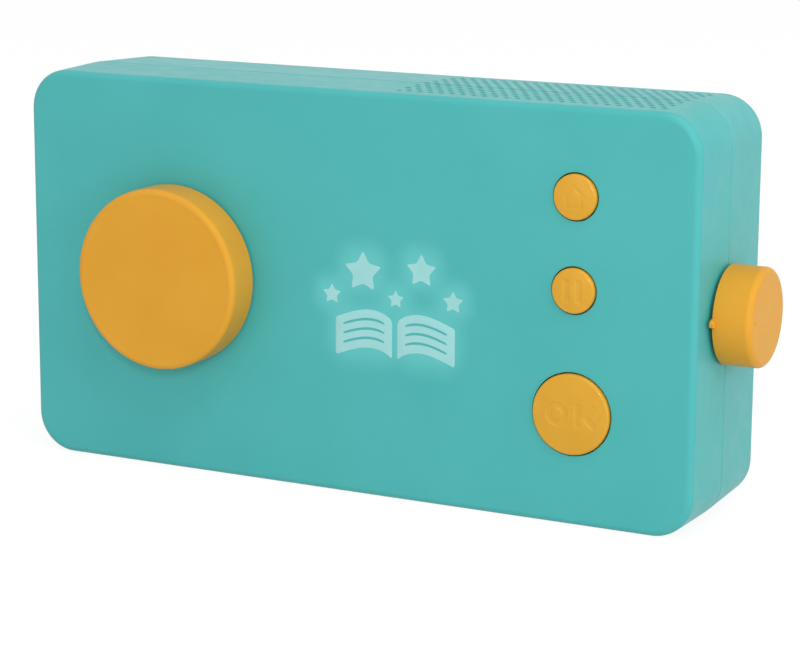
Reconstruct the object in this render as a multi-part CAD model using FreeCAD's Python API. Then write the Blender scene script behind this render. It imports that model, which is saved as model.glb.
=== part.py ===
import FreeCAD, Part
import math
import os

# A children's audio story player: a drafted two-shell case with a selector knob, three push
# buttons and a glowing picture on its front, a speaker grille in its top and a volume knob
# on its right side. Millimetres. The origin is the middle of the flat underside, x runs to
# the right as seen from the front, y to the back and z up.

Vector = FreeCAD.Vector
along_x = Vector(1, 0, 0)
along_y = Vector(0, 1, 0)
along_z = Vector(0, 0, 1)

# Clearances
touch_gap = 0.05       # fixed round piece in its hole, radial
fit_gap = 0.1          # fixed pieces that slide together
moving_gap = 0.3       # a moving piece and what stands round it
running_gap = 0.05     # a shaft in its bushing, radial
past = 1.0             # how far a cutting form runs past what it cuts

# Case
case_width = 155.0
case_height = 85.0
case_depth = 36.5
case_corner = 8.5      # corner radius seen from the front
case_wall = 2.0
edge_round = 1.4       # soft edge round the front and the back
front_draft = 1.5      # degrees that the sides lean in towards the front
rear_draft = 2.0       # degrees that the sides lean in towards the back
parting_y = -2.2       # the plane where the two shells meet
seam_bevel = 0.25      # small bevel on both shells along the seam
lip_height = 1.2       # the front shell's lip, which stands inside the rear shell
lip_thickness = 1.1
lip_from_outside = 1.2
lip_root = 1.0         # how far down the front wall the lip begins

# Case screws, driven in from the back
screw_inset = 9.0      # screw axis from the case's sides
screw_radius = 1.3
screw_head_radius = 2.5
screw_head_height = 1.8
screw_length = 14.0
screw_sink = 12.0      # from the back face down to the seat of the head
boss_radius = 3.4
pilot_floor = 2.0      # solid material under a pilot hole
middle_boss_x = -8.0
rib_thickness = 1.2
recess_width = 0.7     # arms of the cross recess in a screw's head
recess_reach = 0.6     # share of the head's radius

# Selector knob and its rotary encoder
selector_from_left = 36.8
selector_above_middle = 0.4
selector_radius = 19.3
selector_height = 8.25
selector_gap = 0.5     # under the knob's skirt
selector_round = 0.9
knob_skirt = 2.0
knob_face = 2.0
knob_boss_wall = 2.5
encoder_side = 12.0
encoder_height = 6.5
encoder_rotor_depth = 4.0
housing_corner = 0.5   # on the encoder and the switches
shaft_radius = 3.0
bushing_wall = 0.45
bushing_proud = 3.0
shaft_flat = 1.5       # depth of the flat on a shaft's end
washer_width = 2.0
washer_thickness = 0.5
nut_wall = 1.5         # from the bushing to a flat of the nut
nut_height = 2.0

# Push buttons
buttons_from_right = 26.2
ok_above_bottom = 23.0
home_below_top = 18.2
pause_share = 0.573    # height of pause between ok and home
small_button_radius = 4.6
ok_button_radius = 8.3
button_proud = 0.85
button_dome = 0.3
button_round = 0.6
button_travel = 0.6
flange_width = 1.2
flange_thickness = 1.1
flange_gap = 0.25
post_radius = 2.2
switch_side = 6.0
switch_height = 3.5
switch_floor = 0.5
plunger_radius = 1.75
plunger_proud = 1.5

# Volume knob and its potentiometer, whose axis lies in the parting plane
volume_above_middle = 0.6
volume_radius = 10.1
volume_height = 8.0
volume_gap = 0.5
volume_round = 1.3
volume_skirt = 1.8
pointer_length = 1.6
pointer_root = 1.3     # half its width at the knob
pointer_tip = 0.4      # half its width at the tip
pointer_thickness = 1.0
dimple_radius = 0.9
dimple_depth = 0.35
dimple_from_rim = 2.3
pot_radius = 8.5
pot_length = 8.0
pot_from_wall = 5.5
pot_rotor_depth = 6.0
volume_board_size = 24.0
slot_depth = 5.0       # how deep the ribs hold the volume board

# Main board
board_thickness = 1.6
board_behind_face = 10.25
board_side_gap = 1.5
board_boss_gap = 1.6
board_right_gap = 0.9  # to the volume board
standoff_radius = 2.6
standoff_inset = 4.5   # standoff's axis from the board's edges
standoff_past_usb = 11.0
board_screw_radius = 1.0
board_screw_head = 2.0
board_screw_head_height = 1.3
board_screw_bite = 5.0
notch_side_gap = 1.2   # round the magnet
notch_end_gap = 2.0

# Display behind the front face
window_skin = 0.8      # what is left of the front wall in front of the picture
display_from_selector = 7.1  # from the knob's rim to the holder
display_from_ok = 4.1        # from the OK button's flange to the holder
display_end_gap = 8.5
display_wall = 1.5
panel_thickness = 1.6
light_guide_thickness = 3.0
led_size = (3.0, 1.2, 1.5)
led_columns = 4
ribbon_width = 20.0
ribbon_thickness = 0.2
ribbon_bend = 2.6
ribbon_socket_height = 2.6
ribbon_socket_depth = 2.4
ribbon_socket_ear = 1.5

# Speaker, facing up under the grille
speaker_from_right = 38.5
speaker_side_gap = 2.25
speaker_below_top = 4.6
speaker_flange = 1.0
speaker_seat = 1.2     # width of flange that rests on the shelves
basket_height = 6.0
basket_taper = 4.5     # from the flange's radius down to the base's
basket_wall = 0.8
cone_sag = 3.0
cone_skin = 0.5
cone_rim = 1.2
cap_rise = 1.2
magnet_radius = 8.0
magnet_height = 4.0
terminal_width = 8.0
terminal_thickness = 1.0
terminal_inset = 0.5   # from the flange's edge
terminal_wire_inset = 1.2
shelf_thickness = 1.5
shelf_margin = 3.0
gasket_width = 2.0
cloth_thickness = 0.3

# Grille
grille_start_from_right = 67.5
grille_end_from_right = 9.7
grille_pitch = 2.4
grille_hole_radius = 0.6
grille_edge = 3.6      # plain border at the front and the back

# Sockets in the left side
usb_above_bottom = 22.0
usb_width = 7.6
usb_height = 2.8
usb_length = 5.6
usb_skin = 0.3
usb_recess = 0.8
usb_corner = 0.6
tongue_width = 4.4
tongue_thickness = 0.7
tongue_recess = 1.0
jack_above_bottom = 35.0
jack_bore_radius = 1.8
jack_nose_radius = 3.0
jack_nose_recess = 0.2
jack_body = (12.0, 6.2, 7.0)
jack_bore_length = 13.0

# Battery on the back wall
battery_size = (50.0, 7.0, 34.0)
battery_corner = 1.5
battery_x = -22.0
tape_thickness = 0.8
tape_margin = 5.0
tray_height = 3.0
tray_wall = 1.2
guard_board_height = 4.0
guard_board_thickness = 1.0
guard_board_margin = 2.0

# Chips and sockets on the back of the main board: width, thickness, height
processor_size = (12.0, 1.2, 12.0)
memory_size = (9.0, 1.0, 7.0)
amplifier_size = (5.0, 1.0, 5.0)
socket_size = (6.0, 4.4, 4.6)
socket_wall = 0.7
socket_floor = 1.2
plug_height = 3.8
plug_beside_screw = 1.5
volume_plug_above_axis = 8.6  # past the ribs that hold the small board
capacitor_radius = 2.0
capacitor_height = 5.4
capacitor_round = 0.4
capacitor_count = 3
capacitor_spacing = 1.0  # between the cans, and to the amplifier
resistor_size = (2.0, 0.6, 1.25)
resistor_rows = 3
resistor_columns = 4
resistor_pitch = 3.2
resistor_from_processor = 2.0

# Wires
wire_radius = 0.6
wire_spacing = 1.6

# Planes and axes that follow from the sizes above
front_y = -case_depth / 2
rear_y = case_depth / 2
inner_front_y = front_y + case_wall
inner_rear_y = rear_y - case_wall
right_x = case_width / 2
middle_z = case_height / 2
board_front_y = front_y + board_behind_face
board_rear_y = board_front_y + board_thickness
selector_x = -right_x + selector_from_left
selector_z = middle_z + selector_above_middle
buttons_x = right_x - buttons_from_right
ok_z = ok_above_bottom
home_z = case_height - home_below_top
pause_z = ok_z + pause_share * (home_z - ok_z)
volume_z = middle_z + volume_above_middle
pot_front_x = right_x - case_wall - pot_from_wall
volume_board_x = pot_front_x - pot_length
board_left = -right_x + case_wall + board_side_gap
board_right = volume_board_x - board_thickness - board_right_gap
board_bottom = screw_inset + boss_radius + board_boss_gap
board_top = case_height - board_bottom
speaker_x = right_x - speaker_from_right
speaker_y = 0.0
speaker_radius = (case_depth - 2 * case_wall) / 2 - speaker_side_gap
basket_base_radius = speaker_radius - basket_taper
terminal_edge_y = speaker_y + speaker_radius - terminal_inset
speaker_rim_z = case_height - speaker_below_top
shelf_z = speaker_rim_z - speaker_flange
magnet_z = speaker_rim_z - basket_height - magnet_height
ok_flange_radius = ok_button_radius + flange_width
encoder_right = selector_x + encoder_side / 2
bushing_radius = shaft_radius + running_gap + bushing_wall
washer_radius = bushing_radius + washer_width
nut_across_flats = 2 * (bushing_radius + nut_wall)
display_left = selector_x + selector_radius + display_from_selector
display_right = buttons_x - ok_flange_radius - display_from_ok
display_bottom = board_bottom + display_end_gap
display_top = board_top - display_end_gap
panel_front_y = front_y + window_skin + fit_gap
guide_front_y = panel_front_y + panel_thickness
guide_rear_y = guide_front_y + light_guide_thickness
volume_board_rear_y = inner_rear_y - 1.5 * slot_depth
usb_y = board_front_y - usb_height / 2
jack_y = board_front_y - jack_body[1] / 2
battery_z = middle_z
battery_rear_y = inner_rear_y - tape_thickness
battery_front_y = battery_rear_y - battery_size[1]
well_floor_y = board_rear_y + socket_floor
plug_top_y = well_floor_y + fit_gap + plug_height

centre_standoff_x = (encoder_right + display_left) / 2
small_flange_radius = small_button_radius + flange_width
low_standoff_z = (ok_z + ok_flange_radius + pause_z - small_flange_radius) / 2
low_standoff_reach = ok_flange_radius + standoff_radius + moving_gap
low_standoff_aside = math.sqrt(max(0, low_standoff_reach ** 2 - (low_standoff_z - ok_z) ** 2))

# Places on the back of the main board, each as x and z
battery_plug_x = centre_standoff_x + board_screw_head + plug_beside_screw + socket_size[0] / 2
battery_plug_place = (battery_plug_x, board_top - 6.5)
speaker_plug_place = (speaker_x - 4.0, board_top - 9.0)
volume_plug_place = (buttons_x - 4.0, volume_z + volume_plug_above_axis)
processor_place = (buttons_x - 44.0, board_bottom + 13.0)
memory_place = (processor_place[0] - 14.0, processor_place[1])
amplifier_place = (speaker_x - magnet_radius - 4.0, board_top - 19.0)

button_places = {
    "home": (home_z, small_button_radius),
    "pause": (pause_z, small_button_radius),
    "ok": (ok_z, ok_button_radius),
}

screw_places = [
    (-right_x + screw_inset, screw_inset),
    (-right_x + screw_inset, case_height - screw_inset),
    (middle_boss_x, screw_inset),
    (middle_boss_x, case_height - screw_inset),
    (right_x - screw_inset, screw_inset),
    (right_x - screw_inset, case_height - screw_inset),
]

standoff_places = [
    (board_left + standoff_inset, board_top - standoff_inset),
    (board_left + standoff_past_usb, board_bottom + standoff_inset),
    (centre_standoff_x, board_top - standoff_inset),
    (centre_standoff_x, board_bottom + standoff_inset),
    (buttons_x - max(switch_side, low_standoff_aside), low_standoff_z),
    (buttons_x + switch_side, (pause_z + home_z) / 2),
]


def box(x0, x1, y0, y1, z0, z1):
    """A block between two corners."""
    return Part.makeBox(x1 - x0, y1 - y0, z1 - z0, Vector(x0, y0, z0))


def rod_x(y, z, radius, x0, x1):
    """A cylinder that lies along x."""
    return Part.makeCylinder(radius, x1 - x0, Vector(x0, y, z), along_x)


def rod_y(x, z, radius, y0, y1):
    """A cylinder that lies along y."""
    return Part.makeCylinder(radius, y1 - y0, Vector(x, y0, z), along_y)


def rod_z(x, y, radius, z0, z1):
    """An upright cylinder."""
    return Part.makeCylinder(radius, z1 - z0, Vector(x, y, z0), along_z)


def edges_in_plane(shape, y):
    """The edges of a shape that lie in the plane at depth y."""
    found = []
    for edge in shape.Edges:
        limits = edge.BoundBox
        if abs(limits.YMin - y) < 1e-4 and abs(limits.YMax - y) < 1e-4:
            found.append(edge)
    return found


def edges_along_y(shape):
    """The straight edges of a shape that run from its front to its back."""
    length = shape.BoundBox.YLength
    return [edge for edge in shape.Edges if edge.BoundBox.YLength > 0.99 * length]


def lean(y):
    """How far the case's top and sides have leaned in at depth y."""
    draft = front_draft if y < parting_y else rear_draft
    return abs(y - parting_y) * math.tan(math.radians(draft))


def case_block(y0, y1, inset):
    """The case's own form between two depths of one half, moved in by inset all round."""
    half0 = right_x - inset - lean(y0)
    half1 = right_x - inset - lean(y1)
    top0 = case_height - inset - lean(y0)
    top1 = case_height - inset - lean(y1)
    wedge = Part.makeWedge(-half0, y0, inset, inset, -half1, half0, y1, top0, top1, half1)
    return wedge.makeFillet(case_corner - inset, edges_along_y(wedge))


def straight_block(y0, y1, inset):
    """The case's outline at the seam, moved in by inset and carried straight along y."""
    block = box(inset - right_x, right_x - inset, y0, y1, inset, case_height - inset)
    return block.makeFillet(case_corner - inset, edges_along_y(block))


def rounded_block(x0, x1, y0, y1, z0, z1, corner):
    """A block whose edges along y are rounded."""
    block = box(x0, x1, y0, y1, z0, z1)
    return block.makeFillet(corner, edges_along_y(block))


def on_board(x, z, size):
    """A block of a width, thickness and height that stands on the back of the main board."""
    return box(x - size[0] / 2, x + size[0] / 2, board_rear_y, board_rear_y + size[1],
               z - size[2] / 2, z + size[2] / 2)


def slotted_shaft(radius, length, flat_length):
    """A shaft along z from the origin, with a flat cut on its far end."""
    shaft = rod_z(0, 0, radius, 0, length)
    flat = box(radius - shaft_flat, 2 * radius, -radius, radius, length - flat_length, length)
    return shaft.cut(flat)


def laid_along(shape, axis, place):
    """A shape built along z, turned to point along axis and moved to its place."""
    turn = FreeCAD.Placement(place, FreeCAD.Rotation(along_z, axis))
    turned = shape.copy()
    turned.Placement = turn.multiply(shape.Placement)
    return turned


def bent_wire(points, radius):
    """A round wire of straight runs joined by arcs that touch both of their runs."""
    edges = []
    start = points[0]
    for before, corner, after in zip(points, points[1:], points[2:]):
        run_in = corner - before
        run_out = after - corner
        half_turn = run_in.getAngle(run_out) / 2
        reach = 0.45 * min(run_in.Length, run_out.Length)
        bend = reach / math.tan(half_turn)
        run_in.normalize()
        run_out.normalize()
        inward = run_out - run_in
        inward.normalize()
        enter = corner - run_in * reach
        leave = corner + run_out * reach
        middle = corner + inward * (bend / math.cos(half_turn) - bend)
        edges.append(Part.LineSegment(start, enter).toShape())
        edges.append(Part.Arc(enter, middle, leave).toShape())
        start = leave
        print("wire bend radius", round(bend, 2))
    edges.append(Part.LineSegment(start, points[-1]).toShape())
    path = Part.Wire(edges)
    section = Part.Wire(Part.Circle(points[0], points[1] - points[0], radius).toShape())
    wire = path.makePipeShell([section], True, False)
    print("wire volume share", round(wire.Volume / (math.pi * radius ** 2 * path.Length), 4))
    return wire


def wire_group(points, offset, count):
    """Equal wires side by side, each moved on by offset from the one before."""
    wires = []
    for number in range(count):
        shift = offset * (number - (count - 1) / 2)
        wires.append(bent_wire([point + shift for point in points], wire_radius))
    return Part.makeCompound(wires)


def grille_holes(direction):
    """The staggered holes in the top wall of one shell, -1 for the front and 1 for the rear."""
    start = right_x - grille_start_from_right
    end = right_x - grille_end_from_right
    row_pitch = grille_pitch * math.sin(math.radians(60))
    depth = case_depth / 2 - direction * parting_y - grille_edge
    holes = []
    for row in range(int(depth / row_pitch + 0.5)):
        y = parting_y + direction * (row + 0.5) * row_pitch
        shifted = (row + (direction < 0)) % 2
        x = start + shifted * grille_pitch / 2
        while x <= end:
            holes.append(rod_z(x, y, grille_hole_radius,
                               case_height - 2 * case_wall, case_height + past))
            x += grille_pitch
    return Part.makeCompound(holes)


def case_screw_bosses(y0, y1):
    """Six round bosses, from one depth to another."""
    return [rod_y(x, z, boss_radius, y0, y1) for x, z in screw_places]


def boss_ribs(y0, y1):
    """Ribs that tie the bosses to the nearest walls of the case."""
    half = rib_thickness / 2
    ribs = []
    for x, z in screw_places:
        wall_z = case_wall / 2 if z < middle_z else case_height - 1.5 * case_wall
        low, high = sorted((z, wall_z))
        ribs.append(box(x - half, x + half, y0, y1, low, high))
        if x != middle_boss_x:
            wall_x = math.copysign(right_x - 1.5 * case_wall, x)
            left, right = sorted((x, wall_x))
            ribs.append(box(left, right, y0, y1, z - half, z + half))
    return ribs


def volume_board_ribs(y0, y1):
    """A pair of ribs on each side of the volume board."""
    low = volume_z - volume_board_size / 4
    high = volume_z + volume_board_size / 4
    board_left_x = volume_board_x - board_thickness - fit_gap
    board_right_x = volume_board_x + fit_gap
    return [
        box(board_left_x - rib_thickness, board_left_x, y0, y1, low, high),
        box(board_right_x, board_right_x + rib_thickness, y0, y1, low, high),
    ]


def speaker_shelf(y0, y1):
    """A shelf under the edge of the speaker's flange, cut out round for its basket."""
    half = speaker_radius + shelf_margin
    shelf = box(speaker_x - half, speaker_x + half, y0, y1, shelf_z - shelf_thickness, shelf_z)
    opening = rod_z(speaker_x, speaker_y, speaker_radius - speaker_seat,
                    shelf_z - 2 * shelf_thickness, shelf_z + past)
    return shelf.cut(opening)


def volume_shaft_opening():
    """The round opening in the right side, half of it in each shell."""
    return rod_x(parting_y, volume_z, bushing_radius + fit_gap,
                 right_x - 2 * case_wall, right_x + past)


def front_shell():
    """The front half of the case, with everything moulded on its inside."""
    outer = case_block(front_y, parting_y, 0)
    outer = outer.makeFillet(edge_round, edges_in_plane(outer, front_y))
    outer = outer.makeChamfer(seam_bevel, edges_in_plane(outer, parting_y))
    shell = outer.cut(case_block(inner_front_y, parting_y, case_wall))

    lip_inside = lip_from_outside + lip_thickness
    lip_outer = straight_block(parting_y - lip_root, parting_y + lip_height, lip_from_outside)
    lip_inner = straight_block(parting_y - 2 * lip_root, parting_y + 2 * lip_height, lip_inside)
    lip = lip_outer.cut(lip_inner)
    grille_break = box(right_x - grille_start_from_right - grille_pitch,
                       right_x - grille_end_from_right + grille_pitch,
                       parting_y - 2 * lip_root, parting_y + 2 * lip_height,
                       middle_z, case_height)
    lip = lip.cut(grille_break)

    root_y = front_y + case_wall / 2
    additions = [lip]
    additions += case_screw_bosses(root_y, parting_y)
    additions += boss_ribs(root_y, parting_y - 2 * lip_root)
    for x, z in standoff_places:
        additions.append(rod_y(x, z, standoff_radius, root_y, board_front_y))
    rib_end_y = min(inner_front_y + slot_depth, parting_y - pot_radius - moving_gap)
    additions += volume_board_ribs(root_y, rib_end_y)
    additions.append(speaker_shelf(root_y, speaker_y - speaker_radius / 3))
    shell = shell.fuse(additions)

    cuts = [volume_shaft_opening(), grille_holes(-1)]
    for z, radius in button_places.values():
        cuts.append(rod_y(buttons_x, z, radius + moving_gap, front_y - past, inner_front_y + past))
    cuts.append(rod_y(selector_x, selector_z, bushing_radius + fit_gap,
                      front_y - past, inner_front_y + past))
    cuts.append(box(display_left + display_wall - fit_gap, display_right - display_wall + fit_gap,
                    front_y + window_skin, inner_front_y + past,
                    display_bottom + display_wall - fit_gap,
                    display_top - display_wall + fit_gap))
    for x, z in screw_places:
        cuts.append(rod_y(x, z, screw_radius + touch_gap, inner_front_y + pilot_floor,
                          parting_y + past))
    for x, z in standoff_places:
        cuts.append(rod_y(x, z, board_screw_radius + touch_gap,
                          board_front_y - board_screw_bite - past, board_front_y + past))
    cuts.append(rod_x(jack_y, jack_above_bottom, jack_nose_radius + fit_gap,
                      -right_x - past, -right_x + 2 * case_wall))
    usb_half = usb_width / 2 + fit_gap
    cuts.append(box(-right_x - past, -right_x + 2 * case_wall,
                    usb_y - usb_height / 2 - fit_gap, usb_y + usb_height / 2 + fit_gap,
                    usb_above_bottom - usb_half, usb_above_bottom + usb_half))
    return shell.cut(cuts)


def rear_shell():
    """The rear half of the case, with its screw towers, battery tray and shelf."""
    outer = case_block(parting_y, rear_y, 0)
    outer = outer.makeFillet(edge_round, edges_in_plane(outer, rear_y))
    outer = outer.makeChamfer(seam_bevel, edges_in_plane(outer, parting_y))
    shell = outer.cut(case_block(parting_y, inner_rear_y, case_wall))
    shell = shell.cut(straight_block(parting_y - past, parting_y + lip_height + fit_gap,
                                     lip_from_outside - fit_gap))

    root_y = rear_y - case_wall / 2
    additions = case_screw_bosses(parting_y, root_y)
    additions += boss_ribs(parting_y + 2 * lip_height, root_y)
    additions += volume_board_ribs(parting_y + pot_radius + moving_gap, root_y)
    additions.append(speaker_shelf(speaker_y + speaker_radius / 3, root_y))
    half_width = battery_size[0] / 2 + moving_gap
    half_height = battery_size[2] / 2 + moving_gap
    tray = box(battery_x - half_width - tray_wall, battery_x + half_width + tray_wall,
               inner_rear_y - tray_height, root_y,
               battery_z - half_height - tray_wall, battery_z + half_height + tray_wall)
    tray = tray.cut(box(battery_x - half_width, battery_x + half_width,
                        inner_rear_y - tray_height - past, root_y + past,
                        battery_z - half_height, battery_z + half_height))
    additions.append(tray)
    shell = shell.fuse(additions)

    cuts = [volume_shaft_opening(), grille_holes(1)]
    for x, z in screw_places:
        cuts.append(rod_y(x, z, screw_radius + fit_gap, parting_y - past, rear_y + past))
        cuts.append(rod_y(x, z, screw_head_radius + fit_gap, rear_y - screw_sink, rear_y + past))
    return shell.cut(cuts)


def cross_screw(x, z, head_y, radius, length, head_radius, head_height):
    """A screw driven towards the front, with a cross recess in its head."""
    shank = rod_y(x, z, radius, head_y - length, head_y)
    head = rod_y(x, z, head_radius, head_y, head_y + head_height)
    head = head.makeFillet(head_height / 3, edges_in_plane(head, head_y + head_height))
    reach = recess_reach * head_radius
    recess_y = head_y + head_height / 2
    for half_x, half_z in ((reach, recess_width / 2), (recess_width / 2, reach)):
        head = head.cut(box(x - half_x, x + half_x, recess_y, recess_y + head_height,
                            z - half_z, z + half_z))
    return shank.fuse(head).removeSplitter()


def case_screws():
    """The six long screws that hold the shells together."""
    screws = []
    for x, z in screw_places:
        screws.append(cross_screw(x, z, rear_y - screw_sink, screw_radius, screw_length,
                                  screw_head_radius, screw_head_height))
    return Part.makeCompound(screws)


def board_screws():
    """The short screws that hold the main board on its standoffs."""
    screws = []
    for x, z in standoff_places:
        screws.append(cross_screw(x, z, board_rear_y, board_screw_radius,
                                  board_thickness + board_screw_bite,
                                  board_screw_head, board_screw_head_height))
    return Part.makeCompound(screws)


def main_board():
    """The printed circuit board, with its screw holes and a notch for the magnet."""
    board = rounded_block(board_left, board_right, board_front_y, board_rear_y,
                          board_bottom, board_top, 1.0)
    notch_half = magnet_radius + notch_side_gap
    cuts = [box(speaker_x - notch_half, speaker_x + notch_half,
                board_front_y - past, board_rear_y + past,
                magnet_z - notch_end_gap, board_top + past)]
    for x, z in standoff_places:
        cuts.append(rod_y(x, z, board_screw_radius + 2 * fit_gap,
                          board_front_y - past, board_rear_y + past))
    return board.cut(cuts)


def knob(radius, height, rim_round, skirt, boss_from_base):
    """A hollow knob built up along z from its open base, with a bore that fits a flat shaft."""
    body = rod_z(0, 0, radius, 0, height)
    rim = [edge for edge in body.Edges
           if edge.BoundBox.ZMin > height - 1e-4 and edge.BoundBox.ZLength < 1e-4]
    body = body.makeFillet(rim_round, rim)
    floor = height - knob_face
    body = body.cut(rod_z(0, 0, radius - skirt, -past, floor))
    boss = rod_z(0, 0, shaft_radius + knob_boss_wall, boss_from_base, height - knob_face / 2)
    body = body.fuse(boss)
    bore_radius = shaft_radius + running_gap
    bore = rod_z(0, 0, bore_radius, boss_from_base - past, floor + 2 * moving_gap)
    flat = box(shaft_radius - shaft_flat + running_gap, 2 * shaft_radius,
               -shaft_radius - past, shaft_radius + past, boss_from_base - 2 * past, floor + past)
    return body.cut(bore.cut(flat))


def selector_knob():
    """The large selector knob, over the encoder's nut."""
    shape = knob(selector_radius, selector_height, selector_round, knob_skirt,
                 bushing_proud + moving_gap - selector_gap)
    return laid_along(shape, -along_y, Vector(selector_x, front_y - selector_gap, selector_z))


def selector_shaft():
    """The encoder's shaft, from inside its housing to inside the knob's boss."""
    rear = board_front_y - encoder_height + encoder_rotor_depth
    tip = front_y - selector_gap - selector_height + knob_face - moving_gap
    flat_length = front_y - bushing_proud - tip
    shape = slotted_shaft(shaft_radius, rear - tip, flat_length)
    return laid_along(shape, -along_y, Vector(selector_x, rear, selector_z))


def selector_bushing():
    """The threaded bushing in which the selector's shaft turns."""
    rear = board_front_y - encoder_height
    front = front_y - bushing_proud
    outer = rod_y(selector_x, selector_z, bushing_radius, front, rear)
    return outer.cut(rod_y(selector_x, selector_z, shaft_radius + running_gap,
                           front - past, rear + past))


def selector_washer():
    """The flat washer between the nut and the case."""
    disc = rod_y(selector_x, selector_z, washer_radius, front_y - washer_thickness, front_y)
    return disc.cut(rod_y(selector_x, selector_z, bushing_radius + touch_gap,
                          front_y - 2 * washer_thickness, front_y + past))


def selector_nut():
    """The hexagon nut that clamps the bushing to the case."""
    corner_radius = nut_across_flats / math.sqrt(3)
    corners = []
    for number in range(7):
        angle = math.radians(60 * number)
        corners.append(Vector(selector_x + corner_radius * math.cos(angle),
                              front_y - washer_thickness - nut_height,
                              selector_z + corner_radius * math.sin(angle)))
    nut = Part.Face(Part.makePolygon(corners)).extrude(along_y * nut_height)
    return nut.cut(rod_y(selector_x, selector_z, bushing_radius + touch_gap,
                         front_y - 2 * bushing_proud, front_y + past))


def selector_encoder():
    """The encoder's housing, soldered to the front of the main board."""
    half = encoder_side / 2
    front = board_front_y - encoder_height
    housing = rounded_block(selector_x - half, selector_x + half, front, board_front_y,
                            selector_z - half, selector_z + half, housing_corner)
    return housing.cut(rod_y(selector_x, selector_z, shaft_radius + moving_gap,
                             front - past, front + encoder_rotor_depth + moving_gap))


def button_cap(z, radius):
    """A domed push button with the flange that keeps it in the case and a post behind."""
    edge_y = front_y - button_proud
    apex_y = edge_y - button_dome
    flange_y = inner_front_y + flange_gap
    back_y = flange_y + flange_thickness
    post_y = board_front_y - switch_height - plunger_proud
    flat = radius - button_round
    dome_middle = Vector(flat / 2, apex_y + button_dome / 4, 0)
    diagonal = button_round * (1 - math.sqrt(0.5))
    corner_middle = Vector(radius - diagonal, edge_y + diagonal, 0)
    outline = [
        Part.Arc(Vector(0, apex_y, 0), dome_middle, Vector(flat, edge_y, 0)).toShape(),
        Part.Arc(Vector(flat, edge_y, 0), corner_middle,
                 Vector(radius, edge_y + button_round, 0)).toShape(),
    ]
    corners = [
        Vector(radius, edge_y + button_round, 0),
        Vector(radius, flange_y, 0),
        Vector(radius + flange_width, flange_y, 0),
        Vector(radius + flange_width, back_y, 0),
        Vector(post_radius, back_y, 0),
        Vector(post_radius, post_y, 0),
        Vector(0, post_y, 0),
        Vector(0, apex_y, 0),
    ]
    for start, end in zip(corners, corners[1:]):
        outline.append(Part.LineSegment(start, end).toShape())
    profile = Part.Face(Part.Wire(outline))
    cap = profile.revolve(Vector(0, 0, 0), along_y, 360)
    cap.translate(Vector(buttons_x, 0, z))
    return cap


def switch_housing(z):
    """A square push switch on the front of the board, with a well for its plunger."""
    half = switch_side / 2
    front = board_front_y - switch_height
    housing = rounded_block(buttons_x - half, buttons_x + half, front, board_front_y,
                            z - half, z + half, housing_corner)
    well = rod_y(buttons_x, z, plunger_radius + moving_gap,
                 front - past, board_front_y - switch_floor)
    return housing.cut(well)


def switch_plunger(z):
    """The switch's plunger, which the button's post rests on."""
    front = board_front_y - switch_height - plunger_proud
    back = board_front_y - switch_floor - button_travel - moving_gap
    return rod_y(buttons_x, z, plunger_radius, front, back)


def volume_knob():
    """The volume knob, with a pointer on its skirt and a dimple in its face."""
    shape = knob(volume_radius, volume_height, volume_round, volume_skirt, moving_gap)
    root = volume_radius - volume_skirt / 2
    tip = volume_radius + pointer_length
    outline = [
        Vector(root, -pointer_root, 0),
        Vector(tip, -pointer_tip, 0),
        Vector(tip, pointer_tip, 0),
        Vector(root, pointer_root, 0),
        Vector(root, -pointer_root, 0),
    ]
    pointer = Part.Face(Part.makePolygon(outline)).extrude(along_z * pointer_thickness)
    shape = shape.fuse(pointer)
    dimple = Part.makeSphere(dimple_radius)
    dimple.translate(Vector(volume_radius - dimple_from_rim, 0,
                            volume_height + dimple_radius - dimple_depth))
    shape = shape.cut(dimple)
    shape.rotate(Vector(0, 0, 0), along_z, -90)
    return laid_along(shape, along_x, Vector(right_x + volume_gap, parting_y, volume_z))


def volume_shaft():
    """The potentiometer's shaft, from inside its can to inside the knob."""
    start = pot_front_x - pot_rotor_depth
    tip = right_x + volume_gap + volume_height - knob_face + moving_gap
    shape = slotted_shaft(shaft_radius, tip - start, volume_height - knob_face)
    shape.rotate(Vector(0, 0, 0), along_z, -90)
    return laid_along(shape, along_x, Vector(start, parting_y, volume_z))


def volume_bushing():
    """The bushing in which the volume shaft turns, held between the two shells."""
    end = right_x - moving_gap
    outer = rod_x(parting_y, volume_z, bushing_radius, pot_front_x, end)
    return outer.cut(rod_x(parting_y, volume_z, shaft_radius + running_gap,
                           pot_front_x - past, end + past))


def volume_pot():
    """The round can of the potentiometer and power switch."""
    can = rod_x(parting_y, volume_z, pot_radius, volume_board_x, pot_front_x)
    return can.cut(rod_x(parting_y, volume_z, shaft_radius + moving_gap,
                         pot_front_x - pot_rotor_depth - moving_gap, pot_front_x + past))


def volume_board():
    """The small board behind the potentiometer, held in slots of both shells."""
    front = inner_front_y + slot_depth / 3
    half = volume_board_size / 2
    return box(volume_board_x - board_thickness, volume_board_x, front, volume_board_rear_y,
               volume_z - half, volume_z + half)


def grille_cloth(direction):
    """The thin cloth glued under the holes of one shell, -1 for the front and 1 for the rear."""
    left = right_x - grille_start_from_right - grille_pitch
    right = right_x - grille_end_from_right + grille_pitch / 2
    if direction < 0:
        y0 = inner_front_y + fit_gap
        y1 = parting_y
    else:
        y0 = parting_y
        y1 = inner_rear_y - fit_gap
    bottom = middle_z
    band = box(left, min(right, right_x - case_corner), y0, y1, bottom, case_height)
    outer = case_block(y0, y1, case_wall)
    inner = case_block(y0, y1, case_wall + cloth_thickness)
    return outer.cut(inner).common(band)


def speaker_basket_form():
    """The basket's tapering outside, filled in."""
    base_z = speaker_rim_z - basket_height
    neck = speaker_radius - speaker_seat - fit_gap
    place = Vector(speaker_x, speaker_y, base_z)
    return Part.makeCone(basket_base_radius, neck, shelf_z - base_z, place, along_z)


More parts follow.
